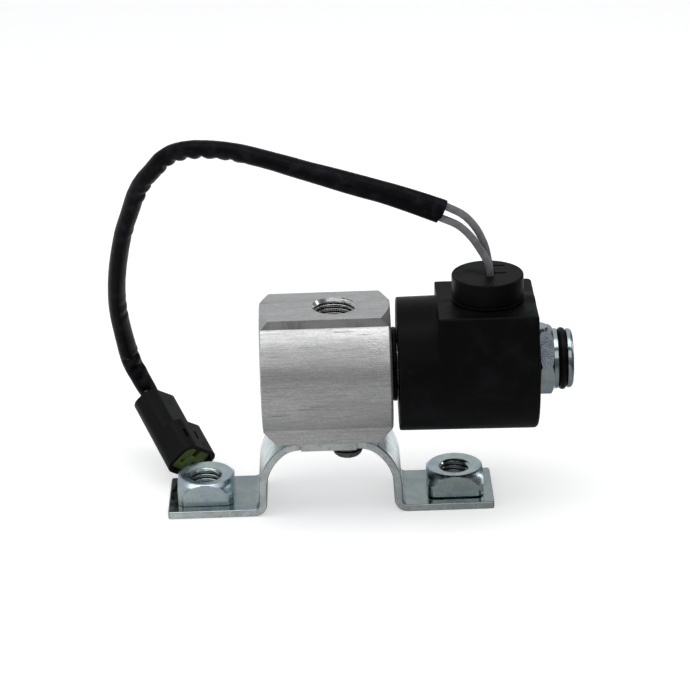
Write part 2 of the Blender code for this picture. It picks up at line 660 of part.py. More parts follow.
def main():
    clear_scene()
    metal = look("extruded aluminium", (0.78, 0.78, 0.79), 1.0, 0.32)
    zinc = look("zinc plated steel", (0.62, 0.68, 0.70), 1.0, 0.28)
    steel = look("machined steel", (0.55, 0.56, 0.58), 1.0, 0.3)
    stainless = look("stainless steel", (0.66, 0.66, 0.66), 1.0, 0.25)
    dark = look("dark steel screws", (0.16, 0.16, 0.17), 0.9, 0.45)
    spring = look("spring wire", (0.5, 0.5, 0.52), 1.0, 0.3)
    brass = look("brass", (0.78, 0.60, 0.28), 1.0, 0.3)
    copper = look("enamelled copper", (0.72, 0.33, 0.16), 1.0, 0.35)
    coil = look("moulded coil plastic", (0.018, 0.018, 0.020), 0.0, 0.5)
    plug = look("connector plastic", (0.02, 0.02, 0.022), 0.0, 0.45)
    bobbin = look("bobbin plastic", (0.62, 0.60, 0.52), 0.0, 0.5)
    green = look("green retainer plastic", (0.16, 0.24, 0.02), 0.0, 0.4)
    rubber = look("black rubber", (0.015, 0.015, 0.015), 0.0, 0.6)
    vinyl = look("black vinyl sleeve", (0.016, 0.016, 0.018), 0.0, 0.35)
    wire = look("grey wire insulation", (0.13, 0.13, 0.135), 0.0, 0.5)

    make_body(metal)
    make_cartridge(steel, rubber, rubber)
    make_seat(brass)
    make_plunger(stainless, rubber)
    make_tube(steel, stainless)
    make_spring(spring)
    make_coil(coil, copper, bobbin, steel)
    make_cap(coil)
    make_coil_nut(zinc, rubber)
    make_tab_washer(zinc)
    make_bracket(zinc)
    make_weld_nuts(zinc)
    make_screws(dark)
    stations = harness()
    make_wires(stations, wire)
    make_sleeve(stations, vinyl)
    make_connector(plug, green, rubber, brass)


main()
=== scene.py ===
"""The looks of a solenoid valve on its bracket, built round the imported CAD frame.

Dimensions are in millimetres and are scaled by MM when each mesh is made. X along the valve axis is counted
from the middle of the valve body, as in the CAD source.
"""

import math

import bmesh
import bpy
from mathutils import Matrix, Vector, noise


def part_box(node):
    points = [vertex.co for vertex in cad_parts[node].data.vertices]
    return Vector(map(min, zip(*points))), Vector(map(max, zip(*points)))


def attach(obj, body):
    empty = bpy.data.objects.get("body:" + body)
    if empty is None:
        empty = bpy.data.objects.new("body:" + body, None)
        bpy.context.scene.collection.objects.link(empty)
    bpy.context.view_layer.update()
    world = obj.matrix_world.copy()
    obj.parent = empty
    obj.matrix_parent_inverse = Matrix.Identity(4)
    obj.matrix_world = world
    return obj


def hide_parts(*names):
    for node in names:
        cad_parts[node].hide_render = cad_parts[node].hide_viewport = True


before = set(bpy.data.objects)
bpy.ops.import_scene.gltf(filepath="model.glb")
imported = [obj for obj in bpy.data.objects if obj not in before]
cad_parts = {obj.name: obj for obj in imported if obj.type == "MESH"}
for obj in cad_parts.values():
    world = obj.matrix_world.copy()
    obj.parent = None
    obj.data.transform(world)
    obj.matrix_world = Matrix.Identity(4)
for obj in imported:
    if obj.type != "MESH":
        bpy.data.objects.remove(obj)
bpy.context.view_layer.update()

MM = 0.001
TURN = 2 * math.pi


def middle(node, axis):
    low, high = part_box(node)
    return (low[axis] + high[axis]) / 2 / MM


# Places read from the frame
BODY_X = middle("valve_body", 0)
AXIS_Z = middle("core_tube", 2)

# Valve body
BODY_HALF = 19.5
BAR_R = 20.0
END_R = 19.6
RIGHT_END_R = 19.3
CONE = 8
TOP_PAD_Z = 19.6
TOP_PAD_Y = 10.8
LOW_PAD_Z = -19.6
LOW_PAD_Y = 13.5
PORT_X = 3.0
PORT_DEPTH = 10.0
PORT_CREST = 5.8
PORT_ROOT = 6.6
PORT_LINER_R = 6.85
PORT_PITCH = 1.337
PORT_MOUTH = 1.0
LINER_GAP = 0.02
# Bores along the valve axis from the left, beyond the end port, as (distance along the axis, radius)
BORES = (
    (-9.5, 3.2), (-7.6, 3.2), (-7.6, 4.9), (-4.0, 4.9), (-4.0, 7.0), (8.0, 7.0), (8.0, 9.2), (18.7, 9.2),
    (BODY_HALF, 10.0), (21, 11.5),
)
SCREW_X = 5.6
SCREW_Y = 7.0
SCREW_HOLE_R = 2.65

# Threads: columns round the bore, rows in each turn, and the flat share of crest and root
THREAD_STEPS = 96
THREAD_ROWS = 24
THREAD_FLAT = 0.12
# How far a thread flank must face into its bore to get painted shade
FLANK_TILT = 0.3

# Coil and its cap
COIL_X0 = 21.4
COIL_STEP = 33.5
COIL_X1 = 62.9
COIL_R0 = 20.1
COIL_R1 = 20.6
COIL_TOP_Z = 20.2
COIL_TOP_Y = 15.3
COIL_EDGE = 0.8
COIL_BORE_R = 7.6
CAP_X = 48.7
CAP_R = 10.7
CAP_TOP_Z = 28.3
WELL_R = 8.4
LEAD_X = 49.5
LEAD_Y = 0.1
LEAD_SLOT = 1.45
LEAD_GAP = 1.35

# Coil nut
NUT_FLATS = 19.0
NUT_X0 = 63.9
NUT_X1 = 68.0
NUT_CORNER_DEG = 10.2
NUT_TAIL = 73.9
NUT_BORE_R = 5.2
TAIL_R = 9.15
TAIL_EDGE = 1.15
GROOVE_R = 6.75
RING_X = 70.7
RING_R = 8.16
RING_HALF = 1.22
WASHER_X0 = 63.05
WASHER_X1 = 63.7

# Bracket, weld nuts and screws
STRIP = 2.4
STRIP_Y = 12.0
FOOT_END = 49.6
FOOT_CORNER = 1.4
PLATE_MID_Z = -21.1
PLATE_FLAT_X = 9.0
BEND_DEG = 40
BEND_R = 9.0
FOOT_BEND_R = 3.0
LEG_X = 20.5
FOOT_NUT_X = 38.1
NUT_HOLE_R = 5.4
WELD_HALF = 8.5
WELD_CORNER = 2.5
WELD_LOW = -41.45
WELD_TOP = -34.4
WELD_PITCH = 1.5
WELD_CREST = 4.25
WELD_ROOT = 5.0
WELD_LINER_R = 5.15
# Crown of a weld nut as (depth below its top, radius), and its dish as (share of the dish's depth, radius)
CROWN = (
    (4.8, 12.0), (3.1, 10.6), (2.1, 10.1), (1.35, 9.6), (0.85, 9.1), (0.5, 8.65), (0.2, 8.35), (0.04, 8.05),
    (0, 7.8), (0.03, 7.5),
)
DISH = ((0.28, 7.1), (0.30, 6.8), (0.62, 6.35), (0.64, 6.05), (1, 5.55))
# Head of a bracket screw as (depth below the strip, radius)
SCREW_HEAD = (
    (4.0, 0), (4.0, 2.4), (3.92, 2.75), (3.55, 3.55), (3.1, 4.05), (2.55, 4.38), (2.0, 4.55), (1.7, 4.6),
    (1.55, 4.5),
)

# Leads, sleeve and connector
WIRE_R = 1.15
SLEEVE_WALL = 0.5
SLEEVE_WIDE = 3.35
SLEEVE_THIN = 2.75
WIRE_STEP = 1.6
SLEEVE_STEP = 0.8
CREASE_PITCH = 4.6
LEADS = (
    ((37.35, 0.1, 61.8), (0, -1, 0)),
    ((37.35, 0.1, 67.0), (0, -1, 0)),
    ((37.3, 0.1, 72.5), (0, -1, 0)),
    ((36.6, 0.2, 76.6), (-0.1, -1, 0)),
    ((34.9, 0.3, 81.0), (-0.5, -0.9, -0.3)),
    ((32.4, 0.4, 85.4), (-0.6, -0.7, -0.6)),
    ((28.8, 0.5, 89.2), (-0.4, -0.4, -0.9)),
    ((23.7, 0.8, 91.8), (-0.3, -0.2, -1)),
)
SLEEVE = (
    ((10.0, 1.4, 97.0), (-0.3, -0.4, -1)),
    ((-3.3, 2.2, 101.2), (-0.2, -0.8, -0.8)),
    ((-16.1, 3.5, 105.0), (0, -1, -0.3)),
    ((-29.8, 5.5, 108.9), (0, -1, 0.2)),
    ((-39.9, 7.5, 110.7), (0, -1, 0.4)),
    ((-50.8, 10.0, 110.5), (0, -1, 0.4)),
    ((-57.3, 12.0, 107.9), (0, -1, 0.4)),
    ((-62.1, 14.2, 102.6), (0, -1, 0.4)),
    ((-66.2, 16.8, 97.0), (0, -1, 0.3)),
    ((-69.8, 20.0, 87.9), (0, -1, 0.2)),
    ((-72.5, 22.8, 80.0), (-0.1, -1, 0.1)),
    ((-75.7, 28.0, 64.8), (-0.2, -1, 0)),
    ((-76.7, 33.4, 51.3), (-0.3, -1, 0)),
    ((-75.4, 38.0, 37.5), (-0.5, -0.9, 0)),
    ((-73.9, 40.2, 29.3), (-0.6, -0.8, 0.1)),
)
PLUG_AT = (-67.3, 34.0, 18.4)
PLUG_SIDE = (0.592, 0.588, -0.551)
PLUG_UP = (0.695, -0.025, 0.719)
PLUG_FRONT = tuple(Vector(PLUG_SIDE).cross(Vector(PLUG_UP)).normalized())
PLUG_HOOD = 15.8
PLUG_LENGTH = 27.5
PLUG_PITCH = 2.5
PLUG_SLOT = 2.3
# Sections of the connector: half width, bottom, top and corner radius
HOOD = (7.15, -4.75, 7.45, 3.6)
REAR = (7.14, -4.74, 4.75, 3.6)
POCKET = (4.8, -3.3, 3.3, 2.6)
MOUTH = (5.9, -3.6, 6.1, 2.5)
LOCK = (5.6, -3.3, 5.8, 2.2)
# Ribs of the wire seal: distance along the connector, and how far they stand out
RIBS = ((5.8, 0), (6.1, 0.12), (6.6, 0.2), (7.0, 0), (7.4, 0), (7.8, 0.2), (8.3, 0.12), (8.6, 0))

# Camera and studio
CAMERA_AT = (-0.00787, -0.67683, 0.34315)
CAMERA_YAW = 0.00226
CAMERA_PITCH = 0.4079
CAMERA_ROLL = -0.03269
CAMERA_LENS = 128.3
FLOOR_HALF = 3000
FLOOR_SHADE = 0.86
FLOOR_GLOW = 0.50
CARD_HEIGHT = 0.2
CARD_SHADE = 0.235
# Where the table's shade fades, in metres
SHADE_Y = (0.0, 0.05)
SHADE_LEFT = (0.06, -0.10)
SHADE_RIGHT = (0.08, 0.17)
# The room, and where it darkens in front and on the right, as parts of a direction
ROOM = (0.53, 0.54, 0.55)
ROOM_DARK = (0.10, 0.10, 0.11)
ROOM_FRONT = (-0.15, -0.50)
ROOM_RIGHT = (0.30, 0.65)
# Name, place, aim, width and height in metres, power in watts
SOFTBOXES = (
    ("overhead", (0.0, -0.10, 0.95), (0, -0.02, 0.03), 1.8, 0.55, 4.3),
    ("front_fill", (0.0, -0.80, 0.68), (0, 0, 0.03), 1.6, 0.50, 1.7),
    ("right_strip", (0.55, 0.16, 0.22), (0.03, 0, 0.05), 0.10, 0.35, 0.3),
)


# ---- shapes

def axes(origin, side, up, front):
    """A frame whose local Z runs along front, at origin, both in millimetres."""
    place = Matrix.Identity(4)
    for column, vector in enumerate((side, up, front, origin)):
        for row in range(3):
            place[row][column] = vector[row]
    return place


def upright(x, y):
    return axes((x + BODY_X, y, AXIS_Z), (1, 0, 0), (0, 1, 0), (0, 0, 1))


ALONG = axes((BODY_X, 0, AXIS_Z), (0, 1, 0), (0, 0, 1), (1, 0, 0))
ACROSS = axes((BODY_X, 0, AXIS_Z), (1, 0, 0), (0, 0, 1), (0, -1, 0))
PLUG = axes(PLUG_AT, PLUG_SIDE, PLUG_UP, PLUG_FRONT)


def rectangle(x0, y0, x1, y1):
    return [(x0, y0), (x1, y0), (x1, y1), (x0, y1)]


def arc(cx, cy, radius, start, end, count):
    """Points on an arc in degrees, both ends included."""
    turns = [math.radians(start + (end - start) * i / count) for i in range(count + 1)]
    return [(cx + radius * math.cos(a), cy + radius * math.sin(a)) for a in turns]


def rounded(half_x, low_y, high_y, radius):
    points = []
    for i, (sign, y) in enumerate(((1, high_y), (-1, high_y), (-1, low_y), (1, low_y))):
        inward = radius if y == low_y else -radius
        points += arc(sign * (half_x - radius), y + inward, radius, 90 * i, 90 * i + 90, 10)
    return points


def bridge(bm, first, second):
    """Faces between two rings of the same count, or between a ring and a single point."""
    count = max(len(first), len(second))
    for i in range(count):
        k = (i + 1) % count
        if len(first) == 1:
            corners = (first[0], second[k], second[i])
        elif len(second) == 1:
            corners = (first[i], first[k], second[0])
        else:
            corners = (first[i], first[k], second[k], second[i])
        bm.faces.new(corners)


def loft(bm, rings, closed=False):
    """Skins a list of rings of points, capped at both ends unless the last joins the first."""
    made = [[bm.verts.new(point) for point in ring] for ring in rings]
    for first, second in zip(made, made[1:]):
        bridge(bm, first, second)
    if closed:
        bridge(bm, made[-1], made[0])
        return
    for ring in (made[0], made[-1]):
        if len(ring) > 2:
            bm.faces.new(ring)


def put(name, data):
    """Adds an object to the scene."""
    obj = bpy.data.objects.new(name, data)
    bpy.context.scene.collection.objects.link(obj)
    return obj


def make(name, bm):
    """Turns a mesh in millimetres into an object whose origin is the frame's."""
    bmesh.ops.recalc_face_normals(bm, faces=bm.faces)
    bmesh.ops.scale(bm, verts=bm.verts, vec=(MM, MM, MM))
    mesh = bpy.data.meshes.new(name)
    bm.to_mesh(mesh)
    bm.free()
    return put(name, mesh)


def lofted(name, rings, closed=False):
    bm = bmesh.new()
    loft(bm, rings, closed)
    return make(name, bm)


def turned(name, place, profile, steps=96, closed=False):
    """Turns (distance along the axis, radius) points round the place's Z axis."""
    rings = []
    for along, radius in profile:
        turns = [TURN * i / steps for i in range(steps if radius > 0 else 1)]
        rings.append([place @ Vector((radius * math.cos(a), radius * math.sin(a), along)) for a in turns])
    return lofted(name, rings, closed)


def extruded(name, place, outline, low, high):
    return lofted(name, [[place @ Vector((x, y, z)) for x, y in outline] for z in (low, high)])


def bake(obj):
    """Replaces the object's mesh by what its modifiers make of it."""
    graph = bpy.context.evaluated_depsgraph_get()
    mesh = bpy.data.meshes.new_from_object(obj.evaluated_get(graph))
    obj.modifiers.clear()
    obj.data = mesh


def combine(obj, helper, operation="DIFFERENCE"):
    """Cuts, joins or intersects the object with a helper, which is used up."""
    modifier = obj.modifiers.new("shape", "BOOLEAN")
    modifier.operation = operation
    modifier.solver = "EXACT"
    modifier.object = helper
    bake(obj)
    bpy.data.objects.remove(helper, do_unlink=True)


def bore_out(obj, place, profile, steps=96):
    combine(obj, turned("bore", place, profile, steps))


def mill(obj, place, outline, low, high):
    combine(obj, extruded("cutter", place, outline, low, high))


def absorb(obj, other):
    """Adds another object's closed shells to the object's mesh."""
    bm = bmesh.new()
    bm.from_mesh(obj.data)
    bm.from_mesh(other.data)
    bm.to_mesh(obj.data)
    bm.free()
    bpy.data.objects.remove(other, do_unlink=True)


def ease(obj, width, segments=3, angle=32, clamp=True):
    """Rounds the edges sharper than the angle, in millimetres."""
    modifier = obj.modifiers.new("ease", "BEVEL")
    modifier.width = width * MM
    modifier.segments = segments
    modifier.limit_method = "ANGLE"
    modifier.angle_limit = math.radians(angle)
    modifier.miter_outer = "MITER_ARC"
    modifier.use_clamp_overlap = clamp
    bake(obj)


def smooth(obj, angle):
    """Smooth shading with clean flats, and sharp edges where faces meet steeply."""
    obj.data.shade_smooth()
    obj.data.set_sharp_from_angle(angle=math.radians(angle))
    modifier = obj.modifiers.new("normals", "WEIGHTED_NORMAL")
    modifier.keep_sharp = True
    bake(obj)


def dress(obj, materials, node, angle=35):
    """Smooths a piece, gives it its materials, puts it under the housing and hides the CAD node that it
    stands for.
    """
    smooth(obj, angle)
    obj.data.materials.clear()
    for material in materials:
        obj.data.materials.append(material)
    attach(obj, "housing")
    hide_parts(node)


def thread(place, low, high, crest, root, pitch, mouth, outer):
    """A liner for a bore: a helical thread inside, and at its top a cone given as (height, radius, slope)."""
    steps, per_turn = THREAD_STEPS, THREAD_ROWS
    count = math.ceil((high - low) / pitch * per_turn) + per_turn
    bm = bmesh.new()
    columns = []
    for i in range(steps):
        around = place.to_3x3() @ Vector((math.cos(TURN * i / steps), math.sin(TURN * i / steps), 0))
        column = [bm.verts.new(place @ Vector((0, 0, low)) + around * outer)]
        for row in range(count + 1):
            z = min(high, max(low, low + pitch * (row / per_turn - 1 + i / steps)))
            part = ((z - low) / pitch - i / steps) % 1.0
            flank = min(1.0, max(0.0, (abs(2 * part - 1) - THREAD_FLAT) / (1 - 2 * THREAD_FLAT)))
            radius = crest + (root - crest) * flank * flank * (3 - 2 * flank)
            radius = max(radius, mouth[1] + (z - mouth[0]) * mouth[2])
            column.append(bm.verts.new(place @ Vector((0, 0, z)) + around * radius))
        column.append(bm.verts.new(place @ Vector((0, 0, high)) + around * outer))
        columns.append(column)
    for i, column in enumerate(columns):
        beside = columns[(i + 1) % steps]
        shift = per_turn if i == steps - 1 else 0
        bm.faces.new((column[0], column[-1], beside[-1], beside[0]))
        bm.faces.new((column[0], beside[0], beside[1], column[1]))
        bm.faces.new((column[-1], column[-2], beside[-2], beside[-1]))
        for row in range(1, count + 1):
            near = beside[min(row + shift, count + 1)]
            far = beside[min(row + 1 + shift, count + 1)]
            corners = (column[row], column[row + 1], far, near)
            bm.faces.new(corners if near is not far else corners[:3])
    bmesh.ops.remove_doubles(bm, verts=bm.verts, dist=1e-4)
    return make("thread", bm)


def shade_thread(obj, first):
    """Puts cut metal on the liners, the faces from first on, and the third material, painted shade, on the
    flanks that face into the bore.
    """
    for face in obj.data.polygons[first:]:
        in_end_port = abs(face.center.z / MM - AXIS_Z) < PORT_LINER_R
        inwards = face.normal.x if in_end_port else -face.normal.z
        face.material_index = 2 if inwards > FLANK_TILT else 1


# ---- materials

class Nodes:
    """Adds nodes to a shader tree. Sizes are in millimetres."""

    def __init__(self, tree, coordinates="Object"):
        self.tree = tree
        self.place = tree.nodes.new("ShaderNodeTexCoord").outputs[coordinates]

    def feed(self, socket, value):
        """Links another node's output to a socket, or sets its value. Colours come without their alpha."""
        if isinstance(value, bpy.types.NodeSocket):
            self.tree.links.new(value, socket)
        else:
            socket.default_value = (*value, 1) if socket.type == "RGBA" else value

    def add(self, kind, *values, **named):
        node = self.tree.nodes.new(kind)
        for socket, value in zip(node.inputs, values):
            self.feed(socket, value)
        for name, value in named.items():
            self.feed(node.inputs[name.replace("_", " ")], value)
        return node

    def pattern(self, kind, size, stretch, **inputs):
        """A texture whose features are about this size."""
        stretched = self.add("ShaderNodeVectorMath", self.place, stretch)
        stretched.operation = "MULTIPLY"
        return self.add(kind, Vector=stretched.outputs[0], Scale=1 / (size * MM), **inputs)

    def noise(self, size, detail=3.0, stretch=(1, 1, 1), roughness=0.55, shift=0.0):
        node = self.pattern("ShaderNodeTexNoise", size, stretch, Detail=detail, Roughness=roughness)
        if shift:
            node.noise_dimensions = "4D"
            node.inputs["W"].default_value = shift
        return node.outputs["Fac"]

    def cells(self, size, stretch=(1, 1, 1)):
        return self.pattern("ShaderNodeTexVoronoi", size, stretch).outputs["Distance"]

    def span(self, value, low, high, start=0.0, end=1.0):
        """Maps low..high to start..end, smoothly and clamped."""
        node = self.add("ShaderNodeMapRange", value, low, high, start, end)
        node.interpolation_type = "SMOOTHSTEP"
        return node.outputs["Result"]

    def cloud(self, size, detail, low, high, start=0.0, end=1.0, **look):
        """Noise mapped from low..high to start..end."""
        return self.span(self.noise(size, detail, **look), low, high, start, end)

    def math(self, operation, first, second):
        node = self.add("ShaderNodeMath", first, second)
        node.operation = operation
        return node.outputs[0]

    def blend(self, factor, first, second):
        node = self.add("ShaderNodeMix")
        node.data_type = "RGBA"
        self.feed(node.inputs["Factor"], factor)
        colours = [socket for socket in node.inputs if socket.type == "RGBA"]
        self.feed(colours[0], first)
        self.feed(colours[1], second)
        return [socket for socket in node.outputs if socket.type == "RGBA"][0]


class Finish(Nodes):
    """A procedural material on the object's own coordinates, with its colours and relief in layers."""

    def __init__(self, name, metallic, specular=0.5):
        self.material = bpy.data.materials.new(name)
        self.material.use_nodes = True
        super().__init__(self.material.node_tree)
        self.shader = self.tree.nodes["Principled BSDF"]
        self.give("Metallic", metallic)
        self.give("Specular IOR Level", specular)
        self.relief = None

    def give(self, name, value):
        self.feed(self.shader.inputs[name], value)

    def paint(self, base, *layers):
        """Lays (factor, colour) layers over the base colour."""
        self.material.diffuse_color = (*base, 1)
        for factor, colour in layers:
            base = self.blend(factor, base, colour)
        self.give("Base Color", base)

    def rough(self, value):
        self.give("Roughness", value)

    def bump(self, height, depth, strength=1.0):
        """Adds relief of this depth to what is there already."""
        node = self.add("ShaderNodeBump", Height=height, Strength=strength, Distance=depth * MM)
        if self.relief:
            self.feed(node.inputs["Normal"], self.relief)
        self.relief = node.outputs["Normal"]
        self.give("Normal", self.relief)


def extruded_aluminium():
    """Drawn bar: grain and long scratches along X, dark nicks, and a crystalline sparkle in patches."""
    coat = Finish("extruded_aluminium", 1.0)
    tone = coat.cloud(9, 4, 0.35, 0.68, stretch=(0.35, 1, 1))
    streak = coat.noise(0.34, 5, (0.035, 1, 1), 0.8)
    fine = coat.noise(0.13, 3, (0.09, 1, 1), 0.6)
    scratch = coat.cloud(0.7, 3, 0.66, 0.70, stretch=(0.045, 1, 1), roughness=0.5, shift=3.1)
    nick = coat.cloud(0.5, 3, 0.70, 0.74, stretch=(0.22, 1, 1), roughness=0.6, shift=5.7)
    speck = coat.cloud(0.26, 3, 0.50, 0.66, 0, 0.6, stretch=(0.5, 1, 1), roughness=0.7, shift=8.2)
    coat.paint(
        (0.84, 0.84, 0.835),
        (tone, (0.74, 0.74, 0.73)),
        (coat.span(streak, 0.42, 0.64, 0, 0.6), (0.46, 0.46, 0.455)),
        (coat.span(fine, 0.45, 0.70, 0, 0.6), (0.42, 0.42, 0.42)),
        (speck, (0.42, 0.42, 0.415)),
        (coat.math("MULTIPLY", scratch, 0.75), (0.28, 0.28, 0.29)),
        (coat.math("MULTIPLY", nick, 0.85), (0.14, 0.14, 0.14)),
    )
    dull = coat.span(tone, 0, 1, 0, 0.06)
    coat.rough(coat.math("ADD", coat.span(streak, 0.3, 0.7, 0.36, 0.46), dull))
    coat.bump(streak, 0.014)
    coat.bump(fine, 0.010)
    coat.bump(coat.math("MAXIMUM", scratch, nick), -0.05, 0.8)
    patch = coat.cloud(14, 2, 0.50, 0.66, shift=2.4)
    coat.bump(coat.math("MULTIPLY", coat.cells(0.42, (0.6, 1, 1)), patch), 0.08, 0.9)
    return coat.material


def cut_aluminium():
    """Freshly cut, brighter aluminium inside the threaded ports."""
    coat = Finish("cut_aluminium", 1.0)
    chatter = coat.noise(0.3, 3, (1, 1, 0.2))
    coat.paint((0.84, 0.84, 0.83), (coat.span(chatter, 0.4, 0.7), (0.62, 0.62, 0.61)))
    coat.rough(coat.span(chatter, 0.3, 0.7, 0.14, 0.3))
    coat.bump(chatter, 0.01)
    return coat.material


def zinc_plate(name="zinc_plate", pitting=0.007, polish=0.10, blue=1.0, lift=1.0):
    """Bluish zinc plate, pitted to a depth. Polish is its lowest roughness and lift its brightness."""
    coat = Finish(name, 1.0)
    near = coat.cloud(3.2, 4, 0.35, 0.70, shift=2)
    coat.paint(
        (0.44 * lift, 0.54 * lift, (0.54 + 0.06 * blue) * lift),
        (coat.cloud(13, 3, 0.36, 0.64), (0.56 * lift, 0.64 * lift, 0.62 * lift)),
        (coat.math("MULTIPLY", near, 0.5), (0.38 * lift, 0.46 * lift, 0.50 * lift)),
        (coat.cloud(1.1, 5, 0.62, 0.78, 0, 0.45, shift=5), (0.25, 0.26, 0.26)),
    )
    grit = coat.noise(0.35, 4, shift=9)
    worn = coat.span(near, 0, 1, polish, polish + 0.12)
    coat.rough(coat.math("ADD", worn, coat.span(grit, 0.3, 0.7, -0.03, 0.07)))
    coat.bump(grit, pitting)
    coat.bump(coat.noise(2.8, 2, shift=1), 0.04, 0.5)
    return coat.material


def hammered_zinc():
    """Zinc over a coarse, pitted surface, as on the nuts' flats."""
    coat = Finish("hammered_zinc", 1.0)
    pits = coat.cells(0.33)
    coat.paint(
        (0.29, 0.33, 0.36),
        (coat.cloud(2.2, 4, 0.35, 0.68), (0.20, 0.23, 0.27)),
        (coat.span(pits, 0.3, 0.8, 0, 0.5), (0.16, 0.18, 0.20)),
    )
    coat.rough(coat.cloud(0.5, 3, 0.3, 0.7, 0.2, 0.36, shift=2))
    coat.bump(pits, 0.04)
    coat.bump(coat.noise(0.9, 3, shift=6), 0.04, 0.7)
    return coat.material


def sheared_edge():
    """The strip's plated cut edge: duller than its faces, with torn and stained spots."""
    coat = Finish("sheared_edge", 1.0)
    tear = coat.noise(0.45, 4, (0.5, 1, 0.5))
    coat.paint(
        (0.86, 0.92, 0.90),
        (coat.cloud(4, 4, 0.35, 0.65, shift=4), (0.68, 0.73, 0.71)),
        (coat.span(tear, 0.54, 0.76, 0, 0.5), (0.24, 0.24, 0.24)),
    )
    coat.rough(coat.span(tear, 0.3, 0.7, 0.34, 0.52))
    coat.bump(tear, 0.03)
    return coat.material


def turned_metal(name, colour, roughness, stretch=(1, 0.03, 0.03), worn=(0.5, 0.5, 0.5)):
    """Machined metal with fine tool marks and a little tarnish."""
    coat = Finish(name, 1.0)
    marks = coat.noise(0.22, 3, stretch, 0.6)
    dull = tuple(c * w for c, w in zip(colour, worn))
    coat.paint(colour, (coat.cloud(4, 5, 0.42, 0.72, 0, 0.6, shift=6), dull))
    coat.rough(coat.span(marks, 0.3, 0.7, roughness - 0.08, roughness + 0.12))
    coat.bump(marks, 0.008)
    return coat.material


def dark_screw_steel():
    coat = Finish("dark_screw_steel", 0.85)
    blotch = coat.cloud(1.6, 5, 0.35, 0.7)
    coat.paint((0.10, 0.10, 0.11), (blotch, (0.20, 0.19, 0.18)))
    coat.rough(coat.span(blotch, 0, 1, 0.34, 0.55))
    coat.bump(coat.noise(0.3, 3, shift=2), 0.01)
    return coat.material


def coil_plastic(name="coil_plastic", shade=0.0035, grain=0.016, gloss=0.07):
    """Matt black moulding with a faint grain, scuffs and a film of dust."""
    black = (shade,) * 3
    coat = Finish(name, 0.0, gloss)
    film = coat.cloud(7, 5, 0.44, 0.72, shift=3)
    speck = coat.cloud(0.40, 2, 0.68, 0.76, shift=8)
    scuff = coat.cloud(0.6, 4, 0.66, 0.78, stretch=(0.25, 1, 1), shift=4)
    coat.paint(
        black,
        (coat.math("MULTIPLY", film, 0.6), (shade * 2.2, shade * 2.4, shade * 2.9)),
        (coat.math("MULTIPLY", speck, film), (0.055, 0.058, 0.07)),
        (coat.math("MULTIPLY", scuff, 0.3), (0.022, 0.022, 0.024)),
    )
    coat.rough(coat.span(film, 0, 1, 0.40, 0.60))
    coat.bump(coat.noise(0.28, 3), grain)
    coat.bump(coat.noise(5, 2, shift=2), 0.05, 0.35)
    return coat.material


def rubber():
    coat = Finish("black_rubber", 0.0, 0.12)
    bloom = coat.cloud(2.5, 5, 0.45, 0.75, 0, 0.5)
    coat.paint((0.003, 0.003, 0.003), (bloom, (0.009, 0.009, 0.0093)))
    coat.rough(coat.span(bloom, 0, 0.5, 0.34, 0.52))
    coat.bump(coat.noise(0.2, 3, shift=1), 0.008)
    return coat.material


def vinyl_sleeve():
    coat = Finish("vinyl_sleeve", 0.0, 0.08)
    coat.paint((0.003, 0.003, 0.004), (coat.cloud(4, 4, 0.46, 0.70, shift=2), (0.012, 0.012, 0.014)))
    coat.rough(coat.cloud(1.2, 4, 0.3, 0.7, 0.34, 0.50))
    coat.bump(coat.noise(2.0, 3, shift=5), 0.06, 0.6)
    coat.bump(coat.noise(0.3, 2, shift=1), 0.008)
    return coat.material


def wire_insulation():
    coat = Finish("grey_insulation", 0.0)
    coat.paint((0.19, 0.19, 0.20), (coat.cloud(3, 4, 0.35, 0.7), (0.13, 0.13, 0.132)))
    coat.rough(coat.cloud(0.8, 3, 0.3, 0.7, 0.34, 0.48, shift=2))
    coat.bump(coat.noise(0.9, 3, shift=4), 0.02, 0.6)
    return coat.material


def moulded(name, colour, deeper, roughness):
    """Coloured moulded plastic with a slight cloudiness and a fine grain."""
    coat = Finish(name, 0.0)
    coat.paint(colour, (coat.cloud(2.5, 4, 0.35, 0.7), deeper))
    coat.rough(coat.cloud(0.6, 3, 0.3, 0.7, roughness - 0.06, roughness + 0.1, shift=3))
    coat.bump(coat.noise(0.25, 2, shift=1), 0.008)
    return coat.material


def wound_copper():
    coat = Finish("copper_wire", 1.0)
    wave = coat.add("ShaderNodeTexWave", Vector=coat.place, Scale=1 / (2.1 * MM))
    wave.bands_direction = "X"
    coat.paint((0.30, 0.10, 0.04), (wave.outputs["Fac"], (0.80, 0.38, 0.18)))
    coat.rough(coat.cloud(1.5, 3, 0.3, 0.7, 0.26, 0.42))
    coat.bump(wave.outputs["Fac"], 0.12)
    return coat.material


def table_top(name, near_shade):
    """A pale, faintly glowing table. In front and at the right its colour and glow are near_shade times as
    bright, less so at the left: painted shade.
    """
    white = (FLOOR_SHADE,) * 3
    coat = Finish(name, 0.0, 0.05)
    paper = coat.blend(coat.cloud(6, 4, 0.3, 0.7), white, (FLOOR_SHADE * 0.985,) * 3)
    apart = coat.add("ShaderNodeSeparateXYZ", Vector=coat.place).outputs
    rear = coat.span(apart["Y"], *SHADE_Y)
    left = coat.span(apart["X"], *SHADE_LEFT, near_shade, (near_shade * 2 + 1) / 3)
    right = coat.span(apart["X"], *SHADE_RIGHT, 1.0, near_shade)
    kept = coat.math("MULTIPLY", coat.math("MAXIMUM", rear, left), right)
    coat.paint((0, 0, 0), (kept, paper))
    coat.rough(0.9)
    coat.give("Emission Color", (1, 1, 1))
    coat.give("Emission Strength", coat.math("MULTIPLY", kept, FLOOR_GLOW))
    return coat.material


# ---- camera, floor and lights

